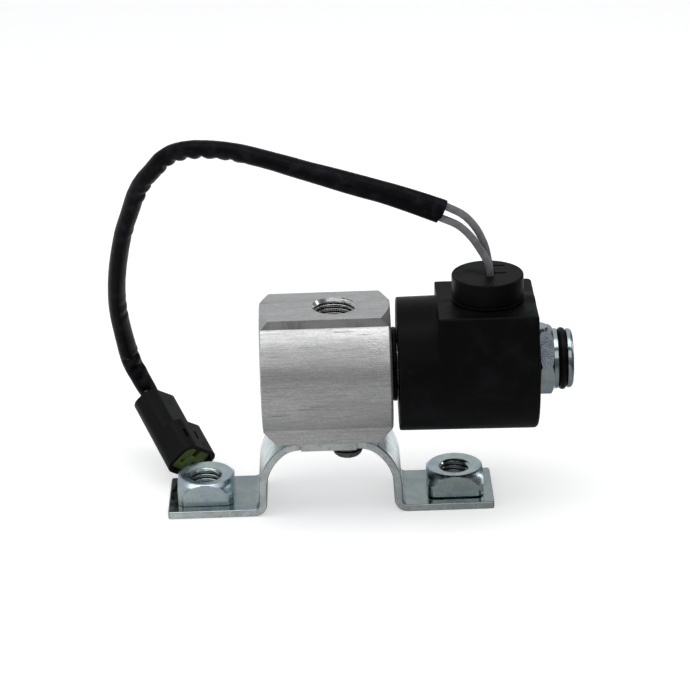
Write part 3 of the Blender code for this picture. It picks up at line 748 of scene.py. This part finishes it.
def set_camera():
    data = bpy.data.cameras.new("camera")
    data.lens = CAMERA_LENS
    data.clip_start = 0.02
    camera = put("camera", data)
    turn = Matrix.Rotation(-CAMERA_YAW, 4, "Z") @ Matrix.Rotation(math.pi / 2 - CAMERA_PITCH, 4, "X")
    camera.matrix_world = Matrix.Translation(CAMERA_AT) @ turn @ Matrix.Rotation(CAMERA_ROLL, 4, "Z")
    bpy.context.scene.camera = camera


def set_floor(name, height, near_shade):
    bm = bmesh.new()
    bmesh.ops.create_grid(bm, x_segments=2, y_segments=2, size=FLOOR_HALF)
    bmesh.ops.translate(bm, verts=bm.verts, vec=(0, 0, height))
    floor = make(name, bm)
    floor.data.materials.append(table_top(name, near_shade))
    return floor


def set_lights():
    for name, at, aim, wide, high, power in SOFTBOXES:
        data = bpy.data.lights.new(name, "AREA")
        data.shape = "RECTANGLE"
        data.size, data.size_y, data.energy = wide, high, power
        light = put(name, data)
        light.location = at
        light.rotation_euler = (Vector(at) - Vector(aim)).to_track_quat("Z", "Y").to_euler()


def set_world():
    """A grey room, dark in front of the object and on its right."""
    world = bpy.data.worlds.new("studio")
    world.use_nodes = True
    nodes = Nodes(world.node_tree, "Generated")
    apart = nodes.add("ShaderNodeSeparateXYZ", Vector=nodes.place).outputs
    front = nodes.span(apart["Y"], *ROOM_FRONT)
    right = nodes.span(apart["X"], *ROOM_RIGHT)
    room = nodes.blend(nodes.math("MAXIMUM", front, right), ROOM, ROOM_DARK)
    nodes.feed(world.node_tree.nodes["Background"].inputs["Color"], room)
    bpy.context.scene.world = world


def set_studio():
    """The table, a sheet just above it that only reflections see, with painted shade in front and at the
    right, and soft lights.
    """
    set_floor("floor", 0.0, 1.0)
    card = set_floor("reflection_card", CARD_HEIGHT, CARD_SHADE)
    card.visible_camera = False
    card.visible_diffuse = False
    card.visible_shadow = False
    card.visible_transmission = False
    set_world()
    bpy.context.scene.view_settings.view_transform = "Standard"
    set_lights()


# ---- leads, sleeve and connector

def hermite(points, spacing):
    """Evenly spaced (point, blend) samples of a smooth curve through the points, by arc length."""
    count = len(points)
    spans = [(points[i + 1] - points[i]).length for i in range(count - 1)]
    slopes = []
    for i in range(count):
        low, high = max(i - 1, 0), min(i + 1, count - 1)
        slopes.append((points[high] - points[low]) / sum(spans[low:high]))
    dense = []
    for i, span in enumerate(spans):
        for k in range(24):
            t = k / 24
            a, b = 2 * t**3 - 3 * t**2 + 1, t**3 - 2 * t**2 + t
            c, d = -2 * t**3 + 3 * t**2, t**3 - t**2
            point = points[i] * a + slopes[i] * b * span + points[i + 1] * c + slopes[i + 1] * d * span
            dense.append((point, i + t))
    dense.append((points[-1], float(count - 1)))
    total = sum((b[0] - a[0]).length for a, b in zip(dense, dense[1:]))
    steps = max(2, round(total / spacing))
    samples, walked, at = [dense[0]], 0.0, 0
    for i in range(1, steps):
        goal = total * i / steps
        while walked + (dense[at + 1][0] - dense[at][0]).length < goal:
            walked += (dense[at + 1][0] - dense[at][0]).length
            at += 1
        part = (goal - walked) / (dense[at + 1][0] - dense[at][0]).length
        blend = dense[at][1] * (1 - part) + dense[at + 1][1] * part
        samples.append((dense[at][0].lerp(dense[at + 1][0], part), blend))
    return samples + [dense[-1]]


def harness(spacing):
    """Stations of the lead pair: [centre, pair direction, half the lead spacing, sleeved or not, forward]."""
    side = -Vector(PLUG_SIDE)
    arrive = [(PLUG @ Vector((0, 0, t)), side) for t in (-4.0, 3.0)]
    free = [(Vector(point), Vector(pair)) for point, pair in LEADS]
    covered = [free[-1]] + [(Vector(point), Vector(pair)) for point, pair in SLEEVE] + arrive
    stations = []
    for group, in_sleeve in ((free, False), (covered, True)):
        samples = hermite([point for point, pair in group], spacing)
        for number, (point, blend) in enumerate(samples):
            if not in_sleeve and number == len(samples) - 1:
                continue
            at = min(int(blend), len(group) - 2)
            pair = group[at][1].normalized().lerp(group[at + 1][1].normalized(), blend - at)
            share = number / (len(samples) - 1)
            gap = LEAD_GAP + 0.5 * share**2 if not in_sleeve else max(1.45, 1.85 - share * 5)
            stations.append([point, pair, gap, in_sleeve])
    for t in (5.4, 8.4, 11.4):
        stations.append([PLUG @ Vector((0, 0, t)), side, PLUG_PITCH, False])
    for i, station in enumerate(stations):
        ahead = stations[min(i + 1, len(stations) - 1)][0] - stations[max(i - 1, 0)][0]
        ahead.normalize()
        pair = station[1] - ahead * station[1].dot(ahead)
        station[1] = pair.normalized()
        station.append(ahead)
    return stations


def run_length(points):
    return sum((b - a).length for a, b in zip(points, points[1:]))


def make_wires(material):
    """The two leads, each one open curve from inside the cap to its terminal."""
    made = []
    for tag, sign in (("front", 1), ("rear", -1)):
        stations = harness(WIRE_STEP)
        curve = bpy.data.curves.new(f"grey_lead_{tag}", "CURVE")
        curve.dimensions = "3D"
        curve.bevel_depth = WIRE_R * MM
        curve.bevel_resolution = 8
        curve.use_fill_caps = True
        spline = curve.splines.new("POLY")
        spline.points.add(len(stations) - 1)
        spline.use_smooth = True
        for point, station in zip(spline.points, stations):
            centre, pair, gap = station[:3]
            at = (centre + pair * gap * sign) * MM
            point.co = (at.x, at.y, at.z, 1.0)
            point.radius = 1.0 + 0.03 * noise.noise(centre * 0.22 + pair * sign)
        curve.materials.append(material)
        lead = put(f"grey_lead_{tag}", curve)
        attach(lead, "housing")
        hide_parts(f"lead_wire_{tag}")
        made.append(lead)
    return made


def make_sleeve(material):
    """The vinyl sleeve: an oval tube that puckers on the inside of its tight bend."""
    covered = [station for station in harness(SLEEVE_STEP) if station[3]]
    centres = [station[0] for station in covered]
    steps = 44
    outer, inner = [], []
    walked = 0.0
    for number, (centre, pair, _, _, ahead) in enumerate(covered):
        if number:
            walked += (centre - centres[number - 1]).length
        before, after = centres[max(number - 6, 0)], centres[min(number + 6, len(centres) - 1)]
        bend = before + after - centre * 2
        bend -= ahead * bend.dot(ahead)
        span = (after - before).length / 2
        tightness = bend.length / (span * span)
        pucker = min(1.0, max(0.0, (tightness - 0.010) / 0.014))
        inward = bend.normalized()
        flare = max(0.0, 1 - walked / 20.0)
        lip = max(0.0, 1 - walked / 0.9)
        wide, thin = SLEEVE_WIDE + 0.35 * flare, SLEEVE_THIN + 0.15 * flare
        other = ahead.cross(pair)
        crease = abs(math.sin(math.pi * walked / CREASE_PITCH))
        outer_ring, inner_ring = [], []
        for k in range(steps):
            a = TURN * k / steps
            face = (pair * math.cos(a) + other * math.sin(a)).normalized()
            shape = pair * wide * math.cos(a) + other * thin * math.sin(a)
            facing = max(0.0, face.dot(inward))
            fold = pucker * facing**1.2 * (1.8 * crease**0.55 - 1.45)
            fold += 0.10 * noise.noise(centre * 0.13 + face * 0.8) - 0.05
            fold += pucker * 0.10 * noise.noise(centre * 0.5 + face * 1.5)
            fold = min(fold, 0.0 if flare > 0 else 0.2) - 0.12 * lip**2
            outer_ring.append(centre + shape + face * fold)
            inner_ring.append(centre + shape - face * SLEEVE_WALL + face * (fold * 0.7 + 0.1 * lip**2))
        outer.append(outer_ring)
        inner.append(inner_ring)
    sleeve = lofted("vinyl_sleeve", outer + inner[::-1], closed=True)
    dress(sleeve, [material], "cable_sleeve", 50)
    return sleeve, centres


def lane(sign):
    """The line of one contact in the connector."""
    return axes(PLUG @ Vector((sign * PLUG_PITCH, 0, 0)), PLUG_SIDE, PLUG_UP, PLUG_FRONT)


def make_connector(black, green, seal_black):
    shell = extruded("plug_shell", PLUG, rounded(*HOOD), PLUG_HOOD, PLUG_LENGTH)
    combine(shell, extruded("rear", PLUG, rounded(*REAR), 0, PLUG_HOOD + 2), "UNION")
    mill(shell, PLUG, rounded(*POCKET), -2, 9)
    mill(shell, PLUG, rounded(*MOUTH), 17.6, PLUG_LENGTH + 2)
    for sign in (-1, 1):
        bore_out(shell, lane(sign), [(8, 1.5), (18.5, 1.5)], 32)
        x = sign * PLUG_SLOT - 2.7
        mill(shell, PLUG, rectangle(x - 0.5, 4.6, x + 0.5, 9.0), 20.0, 23.2)
    ease(shell, 0.3, 4)
    dress(shell, [black], "connector_housing")

    lock = extruded("terminal_lock", PLUG, rounded(*LOCK), 17.9, PLUG_LENGTH - 1.1)
    mill(lock, PLUG, rectangle(-1.1, 2.8, 1.1, 6.8), 23.0, 28)
    for sign in (-1, 1):
        bore_out(lock, lane(sign), [(16, 1.35), (24.4, 1.35), (24.4, 0.8), (28, 0.8)], 32)
    ease(lock, 0.16, 3)
    dress(lock, [green], "connector_retainer")

    ribs = []
    for along, swell in RIBS:
        outline = rounded(4.3 + swell, -2.8 - swell, 2.8 + swell, 2.1 + swell)
        ribs.append([PLUG @ Vector((x, y, along)) for x, y in outline])
    seal = lofted("wire_seal", ribs)
    for sign in (-1, 1):
        bore_out(seal, lane(sign), [(4, 1.3), (10, 1.3)], 32)
    dress(seal, [seal_black], "connector_wire_seal")
    return [shell, lock, seal]


# ---- body, coil and nut

def body_outline():
    top, low = (math.degrees(math.acos(across / BAR_R)) for across in (TOP_PAD_Y, LOW_PAD_Y))
    right = arc(0, 0, BAR_R, -low, top, 72)
    left = arc(0, 0, BAR_R, 180 - top, 180 + low, 72)
    pads = [(TOP_PAD_Y, TOP_PAD_Z), (-TOP_PAD_Y, TOP_PAD_Z)]
    return right + pads + left + [(-LOW_PAD_Y, LOW_PAD_Z), (LOW_PAD_Y, LOW_PAD_Z)]


def make_body(metal, cut_metal, flank_shade, darker_strip_metal):
    """The drawn bar. Its two ports are bored plain and then lined with a thread."""
    body = extruded("bar_body", ALONG, body_outline(), -24, 24)
    cones = [(-BODY_HALF, END_R), (CONE - BODY_HALF, END_R + CONE)]
    cones += [(BODY_HALF - CONE, RIGHT_END_R + CONE), (BODY_HALF, RIGHT_END_R)]
    combine(body, turned("cones", ALONG, cones, 256), "INTERSECT")
    for sign in (1, -1):
        hole = [(LOW_PAD_Z - 2, SCREW_HOLE_R), (-11.5, SCREW_HOLE_R)]
        bore_out(body, upright(sign * SCREW_X, -sign * SCREW_Y), hole, 32)
    ease(body, 0.15, 3, 28)
    wall = PORT_LINER_R + LINER_GAP
    bore_out(body, ALONG, [(-21, wall), (-9.5, wall), *BORES])
    floor = TOP_PAD_Z - PORT_DEPTH
    bore_out(body, upright(PORT_X, 0), [(4.0, 3.5), (floor, 3.5), (floor, wall), (TOP_PAD_Z + 2, wall)])
    outward = axes((BODY_X, 0, AXIS_Z), (0, -1, 0), (0, 0, 1), (-1, 0, 0))
    drawn = len(body.data.polygons)
    for place, low, face in ((upright(PORT_X, 0), floor + 0.05, TOP_PAD_Z), (outward, 9.55, BODY_HALF)):
        mouth = (face - PORT_MOUTH, 6.1, 0.65)
        absorb(body, thread(place, low, face, PORT_CREST, PORT_ROOT, PORT_PITCH, mouth, PORT_LINER_R))
    dress(body, [metal, cut_metal, flank_shade, darker_strip_metal], "valve_body", 60)
    # The upright faces below the top pad get a darker metal
    for face in body.data.polygons[:drawn]:
        if abs(face.normal.y) > 0.9 and face.center.z / MM > AXIS_Z + 17:
            face.material_index = 3
    shade_thread(body, drawn)


def coil_radius(x):
    return COIL_R0 + (COIL_R1 - COIL_R0) * (x - COIL_X0) / (COIL_X1 - COIL_X0)


def coil_outline(radius):
    """Round below, with sides that rise straight off the circle to a flat top with eased edges."""
    reach = math.hypot(COIL_TOP_Y, COIL_TOP_Z)
    start = math.degrees(math.atan2(COIL_TOP_Z, COIL_TOP_Y) - math.acos(radius / reach))
    lean = math.radians(start)
    cz = COIL_TOP_Z - COIL_EDGE
    cy = (radius - COIL_EDGE - cz * math.sin(lean)) / math.cos(lean)
    below = arc(0, 0, radius, -180 - start, start, 96)
    right = arc(cy, cz, COIL_EDGE, start, 90, 8)
    left = arc(-cy, cz, COIL_EDGE, 90, 180 - start, 8)
    points = []
    for (x0, y0), (x1, y1), count in (
        (below[-1], right[0], 14), (right[-1], left[0], 28), (left[-1], below[0], 14),
    ):
        points.append([(x0 + (x1 - x0) * i / count, y0 + (y1 - y0) * i / count) for i in range(1, count)])
    return below + points[0] + right + points[1] + left + points[2][:-1]


def coil_ring(x, drop=0.0, inset=0.0, neck=False):
    """One section of the coil. What stands above the circle is lowered by drop, or left off a neck."""
    radius = coil_radius(x)
    ring = []
    for y, z in coil_outline(radius):
        reach = math.hypot(y, z)
        proud = 0.0 if neck else max(0.0, reach - radius - drop)
        size = (radius + proud - inset) / reach
        ring.append(ALONG @ Vector((y * size, z * size, x)))
    return ring


def bore_ring(x, radius):
    turns = [math.atan2(z, y) for y, z in coil_outline(coil_radius(x))]
    return [ALONG @ Vector((radius * math.cos(a), radius * math.sin(a), x)) for a in turns]


def quarter(count):
    """How far a rounded edge lies inside each of the faces that it joins, over a quarter turn."""
    turns = [math.pi / 2 * i / count for i in range(count + 1)]
    return [(1 - math.sin(a), 1 - math.cos(a)) for a in turns]


def make_coil(black):
    """The coil's moulding, lofted from the neck to the right end and back through its hollow."""
    rings = [coil_ring(COIL_X0 + 0.55 * s, inset=0.55 * c, neck=True) for s, c in quarter(5)[::-1]]
    rings += [coil_ring(x, neck=True) for x in (25.0, 29.0, COIL_STEP - 0.02)]
    rings += [coil_ring(COIL_STEP + 0.4 * s, drop=0.4 * c) for s, c in quarter(5)[::-1]]
    rings += [coil_ring(x) for x in (40.0, 48.0, 56.0)]
    rings += [coil_ring(COIL_X1 - 1.3 * s, inset=1.1 * c) for s, c in quarter(8)]
    for x, radius in (
        (COIL_X1, COIL_BORE_R), (59.8, COIL_BORE_R), (59.8, 17.0), (24.6, 17.0), (24.6, COIL_BORE_R),
        (COIL_X0, COIL_BORE_R),
    ):
        rings.append(bore_ring(x, radius))
    bm = bmesh.new()
    loft(bm, rings, closed=True)
    bmesh.ops.remove_doubles(bm, verts=bm.verts, dist=0.004)
    bmesh.ops.dissolve_degenerate(bm, edges=bm.edges, dist=0.002)
    coil = make("coil_moulding", bm)
    bore_out(coil, upright(CAP_X, 0), [(12.0, WELL_R), (COIL_TOP_Z + 2, WELL_R)], 64)
    dress(coil, [black], "coil_housing", 32)


def make_cap(black):
    crown = arc(CAP_TOP_Z - 0.45, CAP_R - 0.45, 0.45, 90, 0, 6)
    profile = [
        (17.4, 0), (17.4, 8.1), (20.5, 8.1), (20.5, CAP_R), (20.6, CAP_R + 0.05), (20.95, CAP_R + 0.05),
        (21.05, CAP_R - 0.05), (21.05, CAP_R - 0.35), (21.5, CAP_R - 0.35), (21.62, CAP_R), (24.0, CAP_R),
    ]
    cap = turned("lead_boss", upright(CAP_X, 0), profile + crown + [(CAP_TOP_Z, 0)], 160)
    slot = arc(0, LEAD_SLOT, LEAD_SLOT, 0, 180, 20) + arc(0, -LEAD_SLOT, LEAD_SLOT, 180, 360, 20)
    mill(cap, upright(LEAD_X, LEAD_Y), slot, 10, 35)
    for y in (6.0, 0.0):
        mill(cap, upright(CAP_X, 0), rectangle(2.1, y - 0.42, 5.6, y + 0.42), CAP_TOP_Z - 0.7, CAP_TOP_Z + 1)
    nick = rectangle(0.1, -CAP_R - 1, 0.6, -CAP_R + 0.35)
    mill(cap, upright(CAP_X, 0), nick, CAP_TOP_Z - 0.5, CAP_TOP_Z + 1)
    ease(cap, 0.1, 2, 40)
    dress(cap, [black], "lead_cap")


def make_nut(pitted, bright, smoother, black):
    corner = NUT_FLATS / 2 / math.cos(math.radians(30))
    turns = [math.radians(180 - NUT_CORNER_DEG + 60 * i) for i in range(6)]
    hexagon = [(corner * math.cos(a), corner * math.sin(a)) for a in turns]
    nut = extruded("hex_nut", ALONG, hexagon, NUT_X0 - 1, NUT_X1 + 1)
    flat = NUT_FLATS / 2
    cone = [(NUT_X0, flat + 0.9), (NUT_X0 + 0.7, flat + 2), (NUT_X1 - 1.15, flat + 2), (NUT_X1, flat + 0.05)]
    combine(nut, turned("cone", ALONG, cone, 192), "INTERSECT")
    tail = [(NUT_X1 - 1, TAIL_R), (69.1, TAIL_R)] + arc(69.1, 8.9, 0.25, 90, 0, 4)
    tail += [(69.4, GROOVE_R), (72.0, GROOVE_R)] + arc(72.25, 8.75, 0.25, 180, 90, 5)
    tail += arc(NUT_TAIL - TAIL_EDGE, 7.85, TAIL_EDGE, 88, 0, 12)
    combine(nut, turned("tail", ALONG, tail, 160), "UNION")
    bore_out(nut, ALONG, [(NUT_X0 - 2, NUT_BORE_R), (68.2, NUT_BORE_R), (69.2, 3.6)], 64)
    ease(nut, 0.12, 3, 24)
    dress(nut, [pitted, bright, smoother], "coil_nut", 30)
    for face in nut.data.polygons:
        if face.center.x / MM > BODY_X + NUT_X1 - 0.1:
            face.material_index = 1
        elif face.normal.z < -0.1:
            face.material_index = 2

    ring = arc(RING_X, RING_R, RING_HALF, 90, -270, 28)[:-1]
    seal = turned("tail_o_ring", ALONG, ring, 128, closed=True)
    dress(seal, [black], "coil_nut_o_ring", 60)


def make_tab_washer(zinc):
    x0, x1, rim = WASHER_X0, WASHER_X1, 9.3
    disc = [(x0, 5.3), (x0, rim - 0.1), (x0 + 0.1, rim), (x1 - 0.1, rim), (x1, rim - 0.1), (x1, 5.3)]
    washer = turned("tongue_washer", ALONG, disc, 128, closed=True)
    facing = math.radians(180 - NUT_CORNER_DEG - 90)
    up = (0, math.cos(facing), math.sin(facing))
    side = (0, -math.sin(facing), math.cos(facing))
    tongue = axes((BODY_X, 0, AXIS_Z), (1, 0, 0), side, up)
    flat = NUT_FLATS / 2
    turns = [math.pi * (i / 24 - 0.5) for i in range(25)]
    tip = [(x0 + 3.7 * math.cos(a), 5.2 * math.sin(a)) for a in turns]
    combine(washer, extruded("tongue", tongue, tip, flat + 0.15, flat + 0.8), "UNION")
    combine(washer, extruded("root", tongue, rectangle(x0, -4.4, x1, 4.4), 7.0, flat + 0.5), "UNION")
    ease(washer, 0.12, 3, 40)
    dress(washer, [zinc], "tab_washer")


# ---- bracket and its fasteners

def sweep(x, z, radius, start, end, count):
    """(x, z, slope) along an arc that begins at x, z. A negative radius turns the other way."""
    x0, z0 = x - radius * math.sin(start), z - radius * math.cos(start)
    turns = [start + (end - start) * i / count for i in range(count + 1)]
    return [(x0 + radius * math.sin(a), z0 + radius * math.cos(a), a) for a in turns]


def bracket_outline():
    """Side view of the bent strip: the centre line of one half, offset both ways, then mirrored."""
    first, upright_slope = math.radians(BEND_DEG), math.pi / 2
    line = sweep(PLATE_FLAT_X, PLATE_MID_Z, BEND_R, 0, first, 12)
    x, z, _ = line[-1]
    line += sweep(x, z, (LEG_X - x) / (1 - math.sin(first)), first, upright_slope, 20)[1:]
    foot_z = STRIP / 2 - AXIS_Z
    line += sweep(LEG_X, foot_z + FOOT_BEND_R, -FOOT_BEND_R, upright_slope, 0, 12)
    line.append((FOOT_END, foot_z, 0.0))
    half = STRIP / 2
    outer = [(x + half * math.sin(a), z + half * math.cos(a)) for x, z, a in line]
    inner = [(x - half * math.sin(a), z - half * math.cos(a)) for x, z, a in line]
    left = [(-x, z) for x, z in inner + outer[::-1]]
    return outer + inner[::-1] + left


def make_bracket(zinc, sheared, bright):
    strip = extruded("bent_bracket", ACROSS, bracket_outline(), -STRIP_Y, STRIP_Y)
    corners = rounded(FOOT_END, -STRIP_Y - 2, STRIP_Y + 2, FOOT_CORNER + 2)
    combine(strip, extruded("corners", upright(0, 0), corners, -AXIS_Z - 2, -10), "INTERSECT")
    ease(strip, 0.42, 4, 40, clamp=False)
    tab = rectangle(-8.4, -22.28, 8.2, -19.92)
    combine(strip, extruded("tab", ACROSS, tab, STRIP_Y - 1, STRIP_Y + 0.6), "UNION")
    hole = [(-AXIS_Z - 3, NUT_HOLE_R + 2.4), (-AXIS_Z, NUT_HOLE_R + 0.2), (-AXIS_Z + 0.3, NUT_HOLE_R)]
    for x in (-FOOT_NUT_X, FOOT_NUT_X):
        bore_out(strip, upright(x, 0), hole + [(-38, NUT_HOLE_R)], 72)
    for sign in (1, -1):
        bore_out(strip, upright(sign * SCREW_X, -sign * SCREW_Y), [(-26, 2.8), (-16, 2.8)], 40)
    for x in (-8.62, 8.42):
        mill(strip, ACROSS, rectangle(x - 0.2, -24, x + 0.2, -18), STRIP_Y - 0.45, STRIP_Y + 2)
    ease(strip, 0.12, 2, 60)
    dress(strip, [zinc, sheared, bright], "mounting_bracket", 40)
    # Cut faces get the sheared edge. Faces that turn partly toward the front or back, on the rounded edges
    # and corners, get the lighter, bluer zinc as a painted highlight.
    for face in strip.data.polygons:
        sideways = abs(face.normal.y)
        if sideways > 0.96:
            face.material_index = 1
        elif sideways > 0.15:
            face.material_index = 2


def make_weld_nuts(zinc, threaded, flank_shade):
    """Square nuts with a rounded crown, a dished and ringed face and a real thread."""
    for tag, x, low, top, dish, mouth_r in (
        ("left", -FOOT_NUT_X, WELD_LOW, WELD_TOP, 0.75, 4.85),
        ("right", FOOT_NUT_X, WELD_LOW + 0.3, WELD_TOP + 0.1, 0.45, 4.75),
    ):
        place = upright(x, 0)
        square = rounded(WELD_HALF, -WELD_HALF, WELD_HALF, WELD_CORNER)
        nut = extruded(f"square_nut_{tag}", place, square, low, top + 1)
        face = top - dish - LINER_GAP
        wall = WELD_LINER_R + LINER_GAP
        crown = [(low - 1, CROWN[0][1])] + [(top - depth, radius) for depth, radius in CROWN]
        crown += [(top - dish * share, radius) for share, radius in DISH]
        crown += [(face, wall + 0.03), (face, wall), (low - 1, wall)]
        combine(nut, turned("crown", place, crown, 160, closed=True), "INTERSECT")
        ease(nut, 0.16, 3, 30)
        drawn = len(nut.data.polygons)
        mouth = (face - 0.5, mouth_r - 0.4, 0.8)
        absorb(nut, thread(place, low + 0.03, face, WELD_CREST, WELD_ROOT, WELD_PITCH, mouth, WELD_LINER_R))
        dress(nut, [zinc, threaded, flank_shade], f"weld_nut_{tag}", 60)
        shade_thread(nut, drawn)


def make_screws(steel):
    top = PLATE_MID_Z - STRIP / 2
    for tag, sign in (("front", 1), ("rear", -1)):
        place = upright(sign * SCREW_X, -sign * SCREW_Y)
        dome = [(top - depth, radius) for depth, radius in SCREW_HEAD]
        shank = [(top - 1.55, 2.4), (-12.9, 2.4), (-12.5, 2.0), (-12.5, 0)]
        screw = turned(f"button_screw_{tag}", place, dome + shank)
        mill(screw, place, arc(0, 0, 1.7, 0, 300, 5), top - 6, top - 2.7)
        ease(screw, 0.1, 3, 35)
        dress(screw, [steel], f"bracket_screw_{tag}")

        rings = []
        for i in range(73):
            a = math.radians(6 + 348 * i / 72)
            lift = 0.28 * (i / 72 - 0.5)
            low, high = top - 1.2 + lift, top - 0.36 + lift
            edge = ((4.25, low), (4.38, low + 0.13), (4.38, high - 0.13), (4.25, high))
            section = ((2.9, low), *edge, (2.9, high))
            rings.append([place @ Vector((r * math.cos(a), r * math.sin(a), z)) for r, z in section])
        dress(lofted(f"split_washer_{tag}", rings), [steel], f"spring_washer_{tag}")


# ---- the scene

def main():
    set_camera()
    leads = make_wires(wire_insulation())
    sleeve, sleeve_line = make_sleeve(vinyl_sleeve())
    plastic = coil_plastic("connector_plastic", 0.0045, 0.010, 0.11)
    green = moulded("green_plastic", (0.10, 0.17, 0.006), (0.045, 0.08, 0.003), 0.4)
    black_rubber = rubber()
    plug = make_connector(plastic, green, black_rubber)
    set_studio()

    aluminium = extruded_aluminium()
    zinc = zinc_plate(blue=0.5, lift=0.8)
    pitted = hammered_zinc()
    # Bright zinc plate, which on the bracket's rounded edges is a painted highlight
    bright_zinc_and_edge_highlight = zinc_plate("bright_zinc_and_edge_highlight", 0.004, blue=0.8)
    sheared = sheared_edge()
    black = coil_plastic()
    # Painted shade on the thread flanks that face into their bores, darker still in patches
    flank_shade = turned_metal("painted_flank_shade", (0.10, 0.10, 0.10), 0.4, worn=(0.05, 0.05, 0.05))
    # A darker metal for the body's upright faces below the top pad
    darker_strip_metal = turned_metal("darker_strip_side", (0.47, 0.47, 0.47), 0.4, worn=(0.36, 0.36, 0.36))
    make_body(aluminium, cut_aluminium(), flank_shade, darker_strip_metal)
    make_coil(black)
    make_cap(black)
    nut_zinc = zinc_plate("nut_zinc", 0.012, 0.20, 1.4, 1.12)
    make_nut(pitted, bright_zinc_and_edge_highlight, nut_zinc, black_rubber)
    make_tab_washer(zinc)
    make_bracket(zinc, sheared, bright_zinc_and_edge_highlight)
    make_weld_nuts(nut_zinc, bright_zinc_and_edge_highlight, flank_shade)
    make_screws(dark_screw_steel())

    brass = turned_metal("brass", (0.78, 0.58, 0.26), 0.3, worn=(0.6, 0.5, 0.35))
    for material, names in (
        (
            turned_metal("machined_steel", (0.56, 0.57, 0.58), 0.32),
            "valve_cartridge fixed_core pole_plate_front pole_plate_rear flux_tube",
        ),
        (turned_metal("stainless_steel", (0.66, 0.66, 0.65), 0.27, (0.04, 1, 1)), "plunger core_tube"),
        (turned_metal("spring_wire", (0.46, 0.46, 0.48), 0.3, (1, 1, 1)), "return_spring"),
        (brass, "valve_seat connector_terminal_a connector_terminal_b"),
        (wound_copper(), "coil_winding"),
        (moulded("bobbin_plastic", (0.62, 0.60, 0.52), (0.52, 0.50, 0.42), 0.48), "coil_bobbin"),
        (black_rubber, "cartridge_o_ring poppet_seal coil_seal_washer"),
    ):
        for name in names.split():
            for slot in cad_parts[name].material_slots:
                slot.material = material

    lead_run = run_length([station[0] for station in harness(WIRE_STEP)]) * MM


main()
